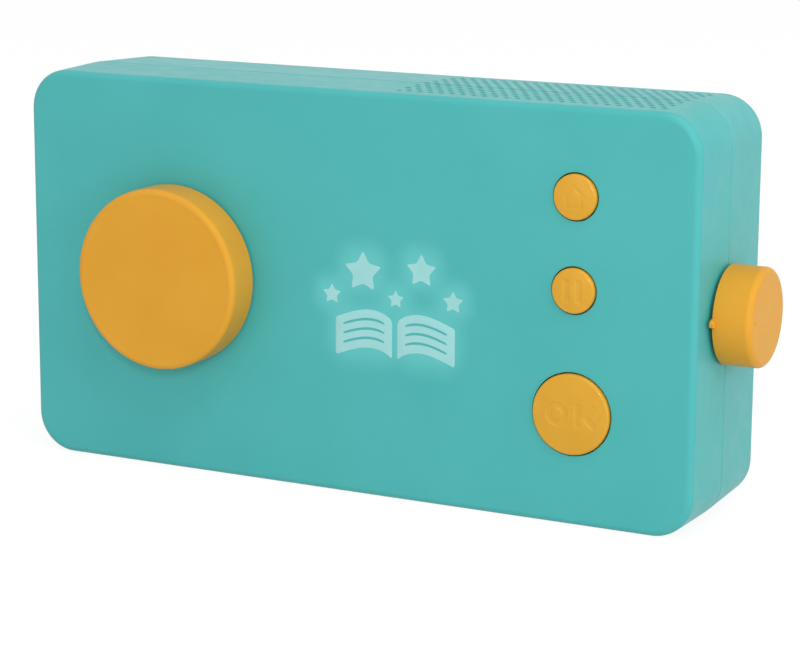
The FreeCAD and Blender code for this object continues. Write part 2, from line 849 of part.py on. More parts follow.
def speaker_basket():
    """The speaker's pressed frame: a flange, a tapering wall and a flat base."""
    flange = rod_z(speaker_x, speaker_y, speaker_radius, shelf_z, speaker_rim_z)
    base_z = speaker_rim_z - basket_height
    neck = speaker_radius - speaker_seat - fit_gap
    wall = speaker_basket_form()
    inside_place = Vector(speaker_x, speaker_y, base_z + basket_wall)
    inside = Part.makeCone(basket_base_radius - basket_wall, neck - basket_wall,
                           speaker_rim_z - base_z, inside_place, along_z)
    return flange.fuse(wall).cut(inside).removeSplitter()


def speaker_cone():
    """The thin cone with its dust cap, glued inside the rim of the basket."""
    edge_radius = speaker_radius - speaker_seat - basket_wall - 2 * fit_gap
    top = speaker_rim_z
    low = top - cone_sag
    cap_radius = edge_radius / 3
    glued_radius = edge_radius + cone_rim
    outline = [
        Vector(0, 0, low + cap_rise),
        Vector(cap_radius, 0, low),
        Vector(edge_radius - cone_rim, 0, top),
        Vector(glued_radius, 0, top),
        Vector(glued_radius, 0, top + cone_skin),
        Vector(edge_radius - cone_rim - cone_skin / 2, 0, top + cone_skin),
        Vector(cap_radius, 0, low + cone_skin),
        Vector(0, 0, low + cap_rise + cone_skin),
        Vector(0, 0, low + cap_rise),
    ]
    cone = Part.Face(Part.makePolygon(outline)).revolve(Vector(0, 0, 0), along_z, 360)
    cone.translate(Vector(speaker_x, speaker_y, 0))
    return cone


def speaker_magnet():
    """The magnet and its steel cup, on the base of the basket."""
    return rod_z(speaker_x, speaker_y, magnet_radius, magnet_z, magnet_z + magnet_height)


def speaker_terminals():
    """The terminal strip on the back side of the basket."""
    base_z = speaker_rim_z - basket_height
    half = terminal_width / 2
    strip = box(speaker_x - half, speaker_x + half, speaker_y, terminal_edge_y,
                base_z, base_z + terminal_thickness)
    return strip.cut(speaker_basket_form())


def speaker_gasket():
    """The foam ring between the speaker's flange and the cloth under the top wall."""
    ring = rod_z(speaker_x, speaker_y, speaker_radius, speaker_rim_z + cone_skin, case_height)
    ring = ring.cut(rod_z(speaker_x, speaker_y, speaker_radius - gasket_width,
                          speaker_rim_z - past, case_height + past))
    skin = case_wall + cloth_thickness
    front = ring.common(case_block(inner_front_y, parting_y, skin))
    rear = ring.common(case_block(parting_y, inner_rear_y, skin))
    return front.fuse(rear).removeSplitter()


def display_panel():
    """The glass of the liquid crystal display, seated in the thinned window."""
    inset = display_wall
    return box(display_left + inset, display_right - inset, panel_front_y, guide_front_y,
               display_bottom + inset, display_top - inset)


def light_guide():
    """The milky plate that spreads the light behind the glass."""
    inset = display_wall
    guide = rounded_block(display_left + inset, display_right - inset,
                          guide_front_y, guide_rear_y,
                          display_bottom + inset, display_top - inset, 1.0)
    return guide


def display_holder():
    """The white frame that stands on the board and carries the glass and the light guide."""
    outer = rounded_block(display_left, display_right, inner_front_y + fit_gap, board_front_y,
                          display_bottom, display_top, 1.0)
    inset = display_wall - fit_gap
    seat = box(display_left + inset, display_right - inset, front_y, guide_rear_y,
               display_bottom + inset, display_top - inset)
    well_inset = 2 * display_wall
    well = box(display_left + well_inset, display_right - well_inset,
               guide_rear_y - past, board_front_y + past,
               display_bottom + well_inset, display_top - well_inset)
    middle_x = (display_left + display_right) / 2
    slot_half = ribbon_width / 2 + moving_gap
    slot = box(middle_x - slot_half, middle_x + slot_half,
               inner_front_y, guide_front_y + ribbon_thickness + moving_gap,
               display_bottom - past, display_bottom + 2 * display_wall)
    return outer.cut([seat, well, slot])


def display_lights():
    """The small lamps on the board, inside the holder."""
    width, thickness, height = led_size
    left = display_left + 4 * display_wall
    right = display_right - 4 * display_wall
    lamps = []
    for z in (display_bottom + 4 * display_wall, display_top - 4 * display_wall):
        for column in range(led_columns):
            x = left + (right - left) * column / (led_columns - 1)
            lamps.append(box(x - width / 2, x + width / 2,
                             board_front_y - thickness, board_front_y,
                             z - height / 2, z + height / 2))
    return Part.makeCompound(lamps)


def display_ribbon():
    """The flat ribbon from the glass, round to its socket on the board."""
    middle_x = (display_left + display_right) / 2
    start_z = display_bottom + display_wall
    turn_z = display_bottom - fit_gap
    outer_y = guide_front_y
    inner_y = guide_front_y + ribbon_thickness
    outer_bend = ribbon_bend + ribbon_thickness
    centre = Vector(0, inner_y + ribbon_bend, turn_z)
    end_y = board_front_y - ribbon_socket_depth / 2
    diagonal = math.sqrt(0.5)

    def on_bend(radius):
        return centre + Vector(0, -radius * diagonal, -radius * diagonal)

    outline = [
        Part.LineSegment(Vector(0, outer_y, start_z), Vector(0, outer_y, turn_z)),
        Part.Arc(Vector(0, outer_y, turn_z), on_bend(outer_bend),
                 centre + Vector(0, 0, -outer_bend)),
        Part.LineSegment(centre + Vector(0, 0, -outer_bend),
                         Vector(0, end_y, turn_z - outer_bend)),
        Part.LineSegment(Vector(0, end_y, turn_z - outer_bend),
                         Vector(0, end_y, turn_z - ribbon_bend)),
        Part.LineSegment(Vector(0, end_y, turn_z - ribbon_bend),
                         centre + Vector(0, 0, -ribbon_bend)),
        Part.Arc(centre + Vector(0, 0, -ribbon_bend), on_bend(ribbon_bend),
                 Vector(0, inner_y, turn_z)),
        Part.LineSegment(Vector(0, inner_y, turn_z), Vector(0, inner_y, start_z)),
        Part.LineSegment(Vector(0, inner_y, start_z), Vector(0, outer_y, start_z)),
    ]
    profile = Part.Face(Part.Wire([piece.toShape() for piece in outline]))
    ribbon = profile.extrude(along_x * ribbon_width)
    ribbon.translate(Vector(middle_x - ribbon_width / 2, 0, 0))
    guide_corner = box(middle_x - ribbon_width, middle_x + ribbon_width,
                       guide_front_y, guide_rear_y, display_bottom + display_wall, display_top)
    return ribbon.cut(guide_corner)


def ribbon_socket():
    """The socket on the front of the board that takes the ribbon."""
    middle_x = (display_left + display_right) / 2
    middle = display_bottom - fit_gap - ribbon_bend - ribbon_thickness / 2
    half_width = ribbon_width / 2 + ribbon_socket_ear
    half_height = ribbon_socket_height / 2
    body = box(middle_x - half_width, middle_x + half_width,
               board_front_y - ribbon_socket_depth, board_front_y,
               middle - half_height, middle + half_height)
    slot = box(middle_x - ribbon_width / 2 - fit_gap, middle_x + ribbon_width / 2 + fit_gap,
               board_front_y - ribbon_socket_depth - past, board_front_y - ribbon_socket_depth / 2,
               middle - ribbon_thickness / 2 - fit_gap, middle + ribbon_thickness / 2 + fit_gap)
    return body.cut(slot)


def usb_socket():
    """The steel shell of the charging socket, open to the left."""
    left = -right_x + usb_recess
    half = usb_width / 2
    shell = box(left, left + usb_length, usb_y - usb_height / 2, usb_y + usb_height / 2,
                usb_above_bottom - half, usb_above_bottom + half)
    lower = [edge for edge in shell.Edges if edge.BoundBox.XLength > usb_length - 1e-4]
    shell = shell.makeFillet(usb_corner, lower)
    hollow = box(left - past, left + usb_length - usb_skin,
                 usb_y - usb_height / 2 + usb_skin, usb_y + usb_height / 2 - usb_skin,
                 usb_above_bottom - half + usb_skin, usb_above_bottom + half - usb_skin)
    return shell.cut(hollow)


def usb_tongue():
    """The contact tongue inside the charging socket."""
    left = -right_x + usb_recess
    half = tongue_width / 2
    return box(left + tongue_recess, left + usb_length - usb_skin,
               usb_y - tongue_thickness / 2, usb_y + tongue_thickness / 2,
               usb_above_bottom - half, usb_above_bottom + half)


def headphone_socket():
    """The headphone socket, whose round nose fills its hole in the case."""
    inner_x = -right_x + case_wall + lean(jack_y) + fit_gap
    length, thickness, height = jack_body
    body = box(inner_x, inner_x + length, jack_y - thickness / 2, jack_y + thickness / 2,
               jack_above_bottom - height / 2, jack_above_bottom + height / 2)
    nose = rod_x(jack_y, jack_above_bottom, jack_nose_radius,
                 -right_x + lean(jack_y) + jack_nose_recess, inner_x + past)
    bore = rod_x(jack_y, jack_above_bottom, jack_bore_radius,
                 -right_x - past, -right_x + lean(jack_y) + jack_bore_length)
    return body.fuse(nose).cut(bore)


def battery_pack():
    """The flat rechargeable cell."""
    width, thickness, height = battery_size
    cell = box(battery_x - width / 2, battery_x + width / 2,
               battery_front_y, battery_rear_y,
               battery_z - height / 2, battery_z + height / 2 - guard_board_height)
    return cell.makeFillet(battery_corner, cell.Edges)


def battery_guard_board():
    """The protection board across the top end of the cell."""
    width, thickness, height = battery_size
    top = battery_z + height / 2
    half = width / 2 - guard_board_margin
    front = battery_front_y + thickness / 2
    return box(battery_x - half, battery_x + half, front, front + guard_board_thickness,
               top - guard_board_height, top)


def battery_tape():
    """The foam tape that holds the cell on the back wall."""
    width, thickness, height = battery_size
    return box(battery_x - width / 2 + tape_margin, battery_x + width / 2 - tape_margin,
               battery_rear_y, inner_rear_y,
               battery_z - height / 2 + tape_margin,
               battery_z + height / 2 - guard_board_height - tape_margin)


def wire_socket(x, z):
    """A wire socket on the back of the main board, with a well for its plug."""
    well_width = socket_size[0] / 2 - socket_wall
    well_height = socket_size[2] / 2 - socket_wall
    well = box(x - well_width, x + well_width, well_floor_y, plug_top_y + past,
               z - well_height, z + well_height)
    return on_board(x, z, socket_size).cut(well)


def wire_plug(x, z):
    """The plug that fills the well of a wire socket and stands a little proud of it."""
    half_width = socket_size[0] / 2 - socket_wall - fit_gap
    half_height = socket_size[2] / 2 - socket_wall - fit_gap
    return box(x - half_width, x + half_width, well_floor_y, plug_top_y,
               z - half_height, z + half_height)


def battery_wires():
    """The cell's two wires, from the protection board over and down to their plug."""
    x, z = battery_plug_place
    start_z = battery_z + battery_size[2] / 2
    start_y = battery_front_y + battery_size[1] / 2 + guard_board_thickness / 2
    high = max(z + 2.0, start_z + 7.0)
    points = [
        Vector(x, start_y, start_z),
        Vector(x, start_y, high),
        Vector(x, start_y - 6.0, high + 2.0),
        Vector(x, plug_top_y + 4.0, z),
        Vector(x, plug_top_y, z),
    ]
    return wire_group(points, along_x * wire_spacing, 2)


def speaker_wires():
    """The speaker's two wires, from its terminals down to their plug."""
    x, z = speaker_plug_place
    start_y = terminal_edge_y - terminal_wire_inset
    points = [
        Vector(x, start_y, speaker_rim_z - basket_height),
        Vector(x, start_y, z + 1.0),
        Vector(x, plug_top_y + 5.5, z),
        Vector(x, plug_top_y, z),
    ]
    return wire_group(points, along_x * wire_spacing, 2)


def volume_wires():
    """The three wires from the volume board to their plug."""
    x, z = volume_plug_place
    start = Vector(volume_board_x - board_thickness, volume_board_rear_y - 1.5, z)
    points = [
        start,
        start - along_x * 4.4,
        Vector(x, start.y - 0.6, z),
        Vector(x, plug_top_y, z),
    ]
    return wire_group(points, along_z * wire_spacing, 3)


def board_capacitors():
    """Upright round capacitors in a row beside the amplifier."""
    amplifier_x, z = amplifier_place
    pitch = 2 * capacitor_radius + capacitor_spacing
    first_x = amplifier_x - amplifier_size[0] / 2 - capacitor_spacing - capacitor_radius
    group = []
    for number in range(capacitor_count):
        x = first_x - number * pitch
        can = rod_y(x, z, capacitor_radius, board_rear_y, board_rear_y + capacitor_height)
        group.append(can.makeFillet(capacitor_round, edges_in_plane(can, board_rear_y + capacitor_height)))
    return Part.makeCompound(group)


def board_resistors():
    """Rows of small chip resistors beside the processor."""
    edge = processor_place[0] + processor_size[0] / 2
    start_x = edge + resistor_from_processor + resistor_size[0] / 2
    start_z = processor_place[1] - resistor_pitch
    group = []
    for row in range(resistor_rows):
        for column in range(resistor_columns):
            x = start_x + column * resistor_pitch
            z = start_z + row * resistor_pitch
            group.append(on_board(x, z, resistor_size))
    return Part.makeCompound(group)


pieces = {
    "front_shell": front_shell(),
    "rear_shell": rear_shell(),
    "case_screws": case_screws(),
    "main_board": main_board(),
    "board_screws": board_screws(),
    "selector_knob": selector_knob(),
    "selector_shaft": selector_shaft(),
    "selector_bushing": selector_bushing(),
    "selector_washer": selector_washer(),
    "selector_nut": selector_nut(),
    "selector_encoder": selector_encoder(),
    "volume_knob": volume_knob(),
    "volume_shaft": volume_shaft(),
    "volume_bushing": volume_bushing(),
    "volume_pot": volume_pot(),
    "volume_board": volume_board(),
    "volume_wires": volume_wires(),
    "volume_socket": wire_socket(*volume_plug_place),
    "volume_plug": wire_plug(*volume_plug_place),
    "grille_cloth_front": grille_cloth(-1),
    "grille_cloth_rear": grille_cloth(1),
    "speaker_basket": speaker_basket(),
    "speaker_cone": speaker_cone(),
    "speaker_magnet": speaker_magnet(),
    "speaker_terminals": speaker_terminals(),
    "speaker_gasket": speaker_gasket(),
    "speaker_wires": speaker_wires(),
    "speaker_socket": wire_socket(*speaker_plug_place),
    "speaker_plug": wire_plug(*speaker_plug_place),
    "display_panel": display_panel(),
    "light_guide": light_guide(),
    "display_holder": display_holder(),
    "display_lights": display_lights(),
    "display_ribbon": display_ribbon(),
    "ribbon_socket": ribbon_socket(),
    "usb_socket": usb_socket(),
    "usb_tongue": usb_tongue(),
    "headphone_socket": headphone_socket(),
    "battery_pack": battery_pack(),
    "battery_guard_board": battery_guard_board(),
    "battery_tape": battery_tape(),
    "battery_wires": battery_wires(),
    "battery_socket": wire_socket(*battery_plug_place),
    "battery_plug": wire_plug(*battery_plug_place),
    "processor_chip": on_board(*processor_place, processor_size),
    "memory_chip": on_board(*memory_place, memory_size),
    "amplifier_chip": on_board(*amplifier_place, amplifier_size),
    "board_capacitors": board_capacitors(),
    "board_resistors": board_resistors(),
}

for button, (button_z, button_radius) in button_places.items():
    pieces[button + "_button"] = button_cap(button_z, button_radius)
    pieces[button + "_switch"] = switch_housing(button_z)
    pieces[button + "_plunger"] = switch_plunger(button_z)

os.makedirs("parts", exist_ok=True)
for name, shape in pieces.items():
    shape.exportStep("parts/" + name + ".step")
    print(name, len(shape.Solids), shape.isValid(), round(shape.Volume, 1))
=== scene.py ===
import math

import bpy
import numpy as np
from mathutils import Matrix, Vector


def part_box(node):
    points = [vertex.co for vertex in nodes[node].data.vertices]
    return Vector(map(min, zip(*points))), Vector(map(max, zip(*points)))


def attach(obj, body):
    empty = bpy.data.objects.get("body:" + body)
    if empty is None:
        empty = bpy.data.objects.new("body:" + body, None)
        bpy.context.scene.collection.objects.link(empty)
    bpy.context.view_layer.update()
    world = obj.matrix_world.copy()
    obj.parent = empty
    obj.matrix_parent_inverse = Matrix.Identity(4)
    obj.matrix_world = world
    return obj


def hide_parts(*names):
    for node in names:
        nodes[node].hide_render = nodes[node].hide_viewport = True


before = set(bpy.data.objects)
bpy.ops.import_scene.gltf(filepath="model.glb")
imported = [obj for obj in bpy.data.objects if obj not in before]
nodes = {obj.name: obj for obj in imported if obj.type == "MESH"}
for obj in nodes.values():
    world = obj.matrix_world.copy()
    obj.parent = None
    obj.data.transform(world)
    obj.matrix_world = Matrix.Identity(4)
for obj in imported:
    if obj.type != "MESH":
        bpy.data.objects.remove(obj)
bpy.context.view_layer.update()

# A children's audio story player. Metres, z up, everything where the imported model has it.

mm = 0.001
noiseSpan = (0.3, 0.7)         # between which a noise's values mostly lie
print("frame loaded,", len(nodes), "nodes")


# Small helpers

def toLinear(red, green, blue):
    # A screen colour, 0 to 255 a channel, as the linear colour that shaders take
    share = np.array([red, green, blue]) / 255
    linear = np.where(share <= 0.04045, share / 12.92, ((share + 0.055) / 1.055) ** 2.4)
    return (*linear.tolist(), 1.0)


def setInputs(node, values):
    # Links another node's output to a socket, or sets the socket's own value
    for name, value in values.items():
        socket = node.inputs[name]
        if isinstance(value, bpy.types.NodeSocket):
            node.id_data.links.new(value, socket)
        else:
            socket.default_value = value


def addNode(tree, kind, inputs, **settings):
    made = tree.nodes.new(kind)
    for name, value in settings.items():
        setattr(made, name, value)
    setInputs(made, inputs)
    return made


def newMaterial(name):
    material = bpy.data.materials.new(name)
    material.use_nodes = True
    tree = material.node_tree
    return material, tree, tree.nodes["Principled BSDF"]


def objectPoint(tree):
    return addNode(tree, "ShaderNodeTexCoord", {}).outputs["Object"]


def noise(tree, size, detail=2.0, roughness=0.5, point=None):
    # Noise whose features are about size metres across
    made = addNode(tree, "ShaderNodeTexNoise", {
        "Vector": point or objectPoint(tree), "Scale": 1 / size, "Detail": detail, "Roughness": roughness})
    return made.outputs["Fac"]


def blendColour(tree, share, first, second):
    made = addNode(tree, "ShaderNodeMix", {0: share, 6: first, 7: second}, data_type="RGBA")
    return made.outputs[2]


def remap(tree, value, low, high, toLow=0.0, toHigh=1.0, smooth=False):
    made = addNode(tree, "ShaderNodeMapRange", {
        "Value": value, "From Min": low, "From Max": high, "To Min": toLow, "To Max": toHigh},
        interpolation_type="SMOOTHSTEP" if smooth else "LINEAR")
    return made.outputs["Result"]


def maths(tree, operation, first, second=0.0):
    return addNode(tree, "ShaderNodeMath", {0: first, 1: second}, operation=operation).outputs[0]


def vectorMaths(tree, operation, first, second=(0.0, 0.0, 0.0)):
    made = addNode(tree, "ShaderNodeVectorMath", {0: first, 1: second}, operation=operation)
    return made.outputs["Vector"]


def addBump(tree, height, depth, under=None):
    inputs = {"Height": height, "Distance": depth, "Strength": 1.0}
    if under is not None:
        inputs["Normal"] = under
    return addNode(tree, "ShaderNodeBump", inputs).outputs["Normal"]


# Materials

def mouldedPlastic(name, look):
    # Moulded plastic: clouded colour, patchy gloss, fine sparked grain over slow unevenness
    material, tree, shader = newMaterial(name)
    clouds = noise(tree, look["cloudSize"], detail=3.0)
    patches = noise(tree, look["patchSize"])
    grain = noise(tree, look["grainSize"], detail=4.0, roughness=0.6)
    slow = addBump(tree, clouds, look["sinkDepth"])
    setInputs(shader, {
        "Base Color": blendColour(tree, remap(tree, clouds, *noiseSpan), look["colour"], look["clouded"]),
        "Roughness": remap(tree, patches, *noiseSpan, *look["roughness"]),
        "Normal": addBump(tree, grain, look["grainDepth"], slow),
        "Specular IOR Level": look["specular"], "Specular Tint": look["glossTint"], "IOR": look["ior"],
        "Coat Weight": look["coat"], "Coat Roughness": look["coatRoughness"]})
    return material


def glow(tree, strength, colour):
    # Gives a plastic light of its own, whose strength varies over the surface
    setInputs(tree.nodes["Principled BSDF"], {"Emission Strength": strength, "Emission Color": colour})


caseLook = {
    "colour": toLinear(66, 169, 167),
    "clouded": toLinear(70, 172, 171),
    "cloudSize": 0.018,
    "patchSize": 0.004,
    "grainSize": 0.00035,
    "grainDepth": 0.000012,
    "sinkDepth": 0.00006,
    "roughness": (0.38, 0.46),
    "specular": 0.42,
    "ior": 1.45,
    "glossTint": (1.0, 1.0, 1.0, 1.0),
    "coat": 0.0,
    "coatRoughness": 0.3,
}

knobLook = {
    "colour": toLinear(213, 152, 52),
    "clouded": toLinear(217, 157, 57),
    "cloudSize": 0.012,
    "patchSize": 0.003,
    "grainSize": 0.0003,
    "grainDepth": 0.000008,
    "sinkDepth": 0.00004,
    "roughness": (0.30, 0.38),
    "specular": 0.4,
    "ior": 1.2,
    "glossTint": (1.0, 1.0, 0.3, 1.0),
    "coat": 0.0,
    "coatRoughness": 0.3,
}

buttonLook = {
    "colour": toLinear(209, 152, 37),
    "clouded": toLinear(214, 157, 43),
    "cloudSize": 0.005,
    "patchSize": 0.002,
    "grainSize": 0.00025,
    "grainDepth": 0.000003,
    "sinkDepth": 0.00002,
    "roughness": (0.16, 0.22),
    "specular": 0.5,
    "ior": 1.38,
    "glossTint": (1.0, 0.9, 0.6, 1.0),
    "coat": 0.2,
    "coatRoughness": 0.08,
}

haloLook = {
    "colour": (0.052, 0.098, 0.094, 1.0),
    "inset": 0.75,             # how far in a motif's core begins, as a share of its lesser half size
    "full": 0.4,               # the glow is full up to this share of the inset past the core
    "reach": 4.2 * mm,         # how far the glow spreads past a motif
    "thickness": 1.0 * mm,     # only plastic this close to the front face glows
    "strength": 1.0,
    "unevenSize": 0.004,
    "uneven": (0.85, 1.0),     # share of the light at its dimmest and brightest places
}

litLook = {
    "colour": (0.265, 0.215, 0.225, 1.0),
    "cloudSize": 0.006,
    "unevenSize": 0.005,
    "uneven": (0.94, 1.04),
    "rowScale": 480.0,
    "rows": (0.96, 1.02),      # share of the light between the display's rows and on them
}


def casePlastic():
    return mouldedPlastic("casePlastic", caseLook)


def glowingCasePlastic(spots, frontY):
    # The front shell's plastic, through which light spreads in a soft halo round each motif
    material = mouldedPlastic("glowingCasePlastic", caseLook)
    tree = material.node_tree
    point = objectPoint(tree)
    unlit = 1.0
    for x, z, halfWidth, halfHeight in spots:
        # Distance past a core inside the motif, measured in the face's plane alone
        inset = haloLook["inset"] * min(halfWidth, halfHeight)
        fromMiddle = vectorMaths(tree, "ABSOLUTE", vectorMaths(tree, "SUBTRACT", point, (x, 0.0, z)))
        beyond = vectorMaths(tree, "SUBTRACT", fromMiddle, (halfWidth - inset, 1.0, halfHeight - inset))
        beyond = vectorMaths(tree, "MAXIMUM", beyond, (0.0, 0.0, 0.0))
        distance = addNode(tree, "ShaderNodeVectorMath", {"Vector": beyond}, operation="LENGTH")
        share = remap(tree, distance.outputs["Value"], haloLook["full"] * inset,
                      inset + haloLook["reach"], smooth=True)
        unlit = maths(tree, "MULTIPLY", share, unlit)
    total = maths(tree, "SUBTRACT", 1.0, unlit)
    depth = addNode(tree, "ShaderNodeSeparateXYZ", {"Vector": point}).outputs["Y"]
    nearFace = maths(tree, "LESS_THAN", depth, frontY + haloLook["thickness"])
    uneven = remap(tree, noise(tree, haloLook["unevenSize"]), *noiseSpan, *haloLook["uneven"])
    field = maths(tree, "MULTIPLY", maths(tree, "MULTIPLY", total, nearFace), uneven)
    glow(tree, maths(tree, "MULTIPLY", field, haloLook["strength"]), haloLook["colour"])
    return material


def knobPlastic():
    return mouldedPlastic("knobPlastic", knobLook)


def buttonPlastic():
    return mouldedPlastic("buttonPlastic", buttonLook)


def litPlastic():
    # The same shell plastic where the picture's light comes through, with the display's rows
    material = mouldedPlastic("litPlastic", dict(caseLook, cloudSize=litLook["cloudSize"]))
    tree = material.node_tree
    uneven = remap(tree, noise(tree, litLook["unevenSize"]), *noiseSpan, *litLook["uneven"])
    rows = addNode(tree, "ShaderNodeTexWave", {"Vector": objectPoint(tree), "Scale": litLook["rowScale"]},
                   bands_direction="Z").outputs["Fac"]
    strength = maths(tree, "MULTIPLY", uneven, remap(tree, rows, 0.0, 1.0, *litLook["rows"]))
    glow(tree, strength, litLook["colour"])
    return material


metals = {
    "steel": {
        "colour": (0.52, 0.52, 0.50, 1), "stained": (0.40, 0.40, 0.39, 1),
        "roughness": (0.28, 0.45), "scratchSize": 0.0002, "scratchDepth": 0.000004},
    "nickel": {
        "colour": (0.66, 0.63, 0.57, 1), "stained": (0.55, 0.52, 0.47, 1),
        "roughness": (0.18, 0.32), "scratchSize": 0.00015, "scratchDepth": 0.000002},
    "magnetCup": {
        "colour": (0.30, 0.31, 0.31, 1), "stained": (0.22, 0.22, 0.23, 1),
        "roughness": (0.35, 0.5), "scratchSize": 0.0004, "scratchDepth": 0.000005},
}


def metal(name):
    # Bare or plated metal: faint stains, and scratches drawn out along x in its gloss and bump
    look = metals[name]
    material, tree, shader = newMaterial(name)
    stains = remap(tree, noise(tree, size=0.0015, detail=3.0), *noiseSpan)
    drawnOut = addNode(tree, "ShaderNodeMapping", {"Vector": objectPoint(tree), "Scale": (0.12, 1.0, 1.0)})
    scratches = noise(tree, look["scratchSize"], detail=3.0, roughness=0.6,
                      point=drawnOut.outputs["Vector"])
    setInputs(shader, {
        "Base Color": blendColour(tree, stains, look["colour"], look["stained"]),
        "Roughness": remap(tree, scratches, *noiseSpan, *look["roughness"]),
        "Normal": addBump(tree, scratches, look["scratchDepth"]), "Metallic": 1.0})
    return material


innerPlastics = {
    # Colour, its clouded form, and how rough the surface is at its glossiest and dullest
    "blackPlastic": ((0.018, 0.018, 0.019, 1), (0.026, 0.026, 0.027, 1), (0.38, 0.50)),
    "whitePlastic": ((0.78, 0.77, 0.74, 1), (0.83, 0.82, 0.79, 1), (0.35, 0.45)),
    "milkyPlastic": ((0.86, 0.88, 0.88, 1), (0.92, 0.93, 0.93, 1), (0.30, 0.40)),
    "lampWhite": ((0.85, 0.83, 0.66, 1), (0.88, 0.86, 0.74, 1), (0.30, 0.40)),
    "chipBlack": ((0.022, 0.022, 0.024, 1), (0.034, 0.034, 0.036, 1), (0.50, 0.62)),
    "wireRed": ((0.55, 0.020, 0.015, 1), (0.62, 0.030, 0.020, 1), (0.30, 0.42)),
    "wireBlack": ((0.020, 0.020, 0.020, 1), (0.030, 0.030, 0.030, 1), (0.30, 0.42)),
    "wireGrey": ((0.30, 0.30, 0.31, 1), (0.36, 0.36, 0.37, 1), (0.30, 0.42)),
}


def innerPlastic(name):
    # Sockets, plugs, switches, chips and wire coverings: the case's moulded grain in their colours
    colour, clouded, roughness = innerPlastics[name]
    look = dict(caseLook, colour=colour, clouded=clouded, roughness=roughness, cloudSize=0.006,
                patchSize=0.002, grainSize=0.0003)
    return mouldedPlastic(name, look)


def milkyPlastic():
    # Light guide: milky, lets light through
    material = innerPlastic("milkyPlastic")
    setInputs(material.node_tree.nodes["Principled BSDF"], {"Transmission Weight": 0.35, "IOR": 1.49})
    return material


lampLook = {
    "glow": (0.85, 0.95, 1.0, 1),
    "glowSize": 0.0008,
    "strength": (0.5, 0.8),
}


def lampWhite():
    # Small white lamps, faintly lit through their yellow phosphor
    material = innerPlastic("lampWhite")
    tree = material.node_tree
    strength = remap(tree, noise(tree, lampLook["glowSize"]), *noiseSpan, *lampLook["strength"])
    glow(tree, strength, lampLook["glow"])
    return material


foilLook = {
    "colour": (0.55, 0.56, 0.58, 1),
    "worn": (0.68, 0.69, 0.70, 1),
    "roughness": (0.25, 0.4),
    "creaseScale": 350.0,
    "creaseDepth": 0.00008,
    "softSize": 0.004,
    "softDepth": 0.0001,
}


def cellFoil():
    # Crinkled pouch foil: soft creases and a patchy satin gloss
    material, tree, shader = newMaterial("cellFoil")
    creases = addNode(tree, "ShaderNodeTexVoronoi", {
        "Vector": objectPoint(tree), "Scale": foilLook["creaseScale"]},
        feature="DISTANCE_TO_EDGE").outputs["Distance"]
    soft = noise(tree, foilLook["softSize"], detail=3.0)
    under = addBump(tree, soft, foilLook["softDepth"])
    setInputs(shader, {
        "Base Color": blendColour(tree, soft, foilLook["colour"], foilLook["worn"]),
        "Roughness": remap(tree, soft, *noiseSpan, *foilLook["roughness"]),
        "Normal": addBump(tree, creases, foilLook["creaseDepth"], under), "Metallic": 0.9})
    return material


boardLook = {
    "mask": (0.008, 0.12, 0.05, 1),
    "maskOverWeave": (0.012, 0.15, 0.065, 1),
    "maskOverTrack": (0.03, 0.21, 0.085, 1),
    "pad": (0.62, 0.60, 0.56, 1),
    "roughness": (0.28, 0.4),
    "cellScale": 110.0,
    "trackScale": 330.0,
    "padScale": 260.0,
    "weaveSize": 0.0004,
    "trackDepth": 0.00003,
    "weaveDepth": 0.000006,
}


def circuitBoard():
    # Green solder mask over thin copper tracks, which run across in some cells and up in others,
    # with tinned round pads between them and the glass weave showing faintly
    material, tree, shader = newMaterial("circuitBoard")
    point = objectPoint(tree)
    cells = addNode(tree, "ShaderNodeTexVoronoi", {"Vector": point, "Scale": boardLook["cellScale"]},
                    distance="CHEBYCHEV").outputs["Color"]
    cell = addNode(tree, "ShaderNodeSeparateColor", {"Color": cells})
    across = maths(tree, "GREATER_THAN", cell.outputs["Red"], 0.5)
    lines = []
    for direction in ("X", "Z"):
        wave = addNode(tree, "ShaderNodeTexWave", {"Vector": point, "Scale": boardLook["trackScale"]},
                       bands_direction=direction).outputs["Fac"]
        lines.append(remap(tree, wave, 0.72, 0.82))
    chosen = addNode(tree, "ShaderNodeMix", {0: across, 2: lines[0], 3: lines[1]}).outputs[0]
    filled = maths(tree, "GREATER_THAN", cell.outputs["Green"], 0.3)
    tracks = maths(tree, "MULTIPLY", chosen, filled)
    spots = addNode(tree, "ShaderNodeTexVoronoi", {"Vector": point, "Scale": boardLook["padScale"]})
    pads = remap(tree, spots.outputs["Distance"], 0.17, 0.14)
    weave = noise(tree, boardLook["weaveSize"])
    mask = blendColour(tree, weave, boardLook["mask"], boardLook["maskOverWeave"])
    tracked = blendColour(tree, tracks, mask, boardLook["maskOverTrack"])
    raised = addBump(tree, maths(tree, "MAXIMUM", tracks, pads), boardLook["trackDepth"])
    setInputs(shader, {
        "Base Color": blendColour(tree, pads, tracked, boardLook["pad"]), "Metallic": pads,
        "Roughness": remap(tree, weave, *noiseSpan, *boardLook["roughness"]),
        "Normal": addBump(tree, weave, boardLook["weaveDepth"], raised)})
    return material


glassLook = {
    "colour": (0.03, 0.045, 0.05, 1),
    "dusty": (0.05, 0.065, 0.07, 1),
    "dustSize": 0.0006,
    "roughness": (0.05, 0.16),
    "ior": 1.52,
    "coat": 0.5,
    "coatRoughness": 0.04,
}


def displayGlass():
    # Dark glass with a faint polariser sheen and dust
    material, tree, shader = newMaterial("displayGlass")
    dust = noise(tree, glassLook["dustSize"], detail=4.0, roughness=0.7)
    setInputs(shader, {
        "Base Color": blendColour(tree, dust, glassLook["colour"], glassLook["dusty"]),
        "Roughness": remap(tree, dust, 0.35, 0.75, *glassLook["roughness"]), "IOR": glassLook["ior"],
        "Coat Weight": glassLook["coat"], "Coat Roughness": glassLook["coatRoughness"]})
    return material


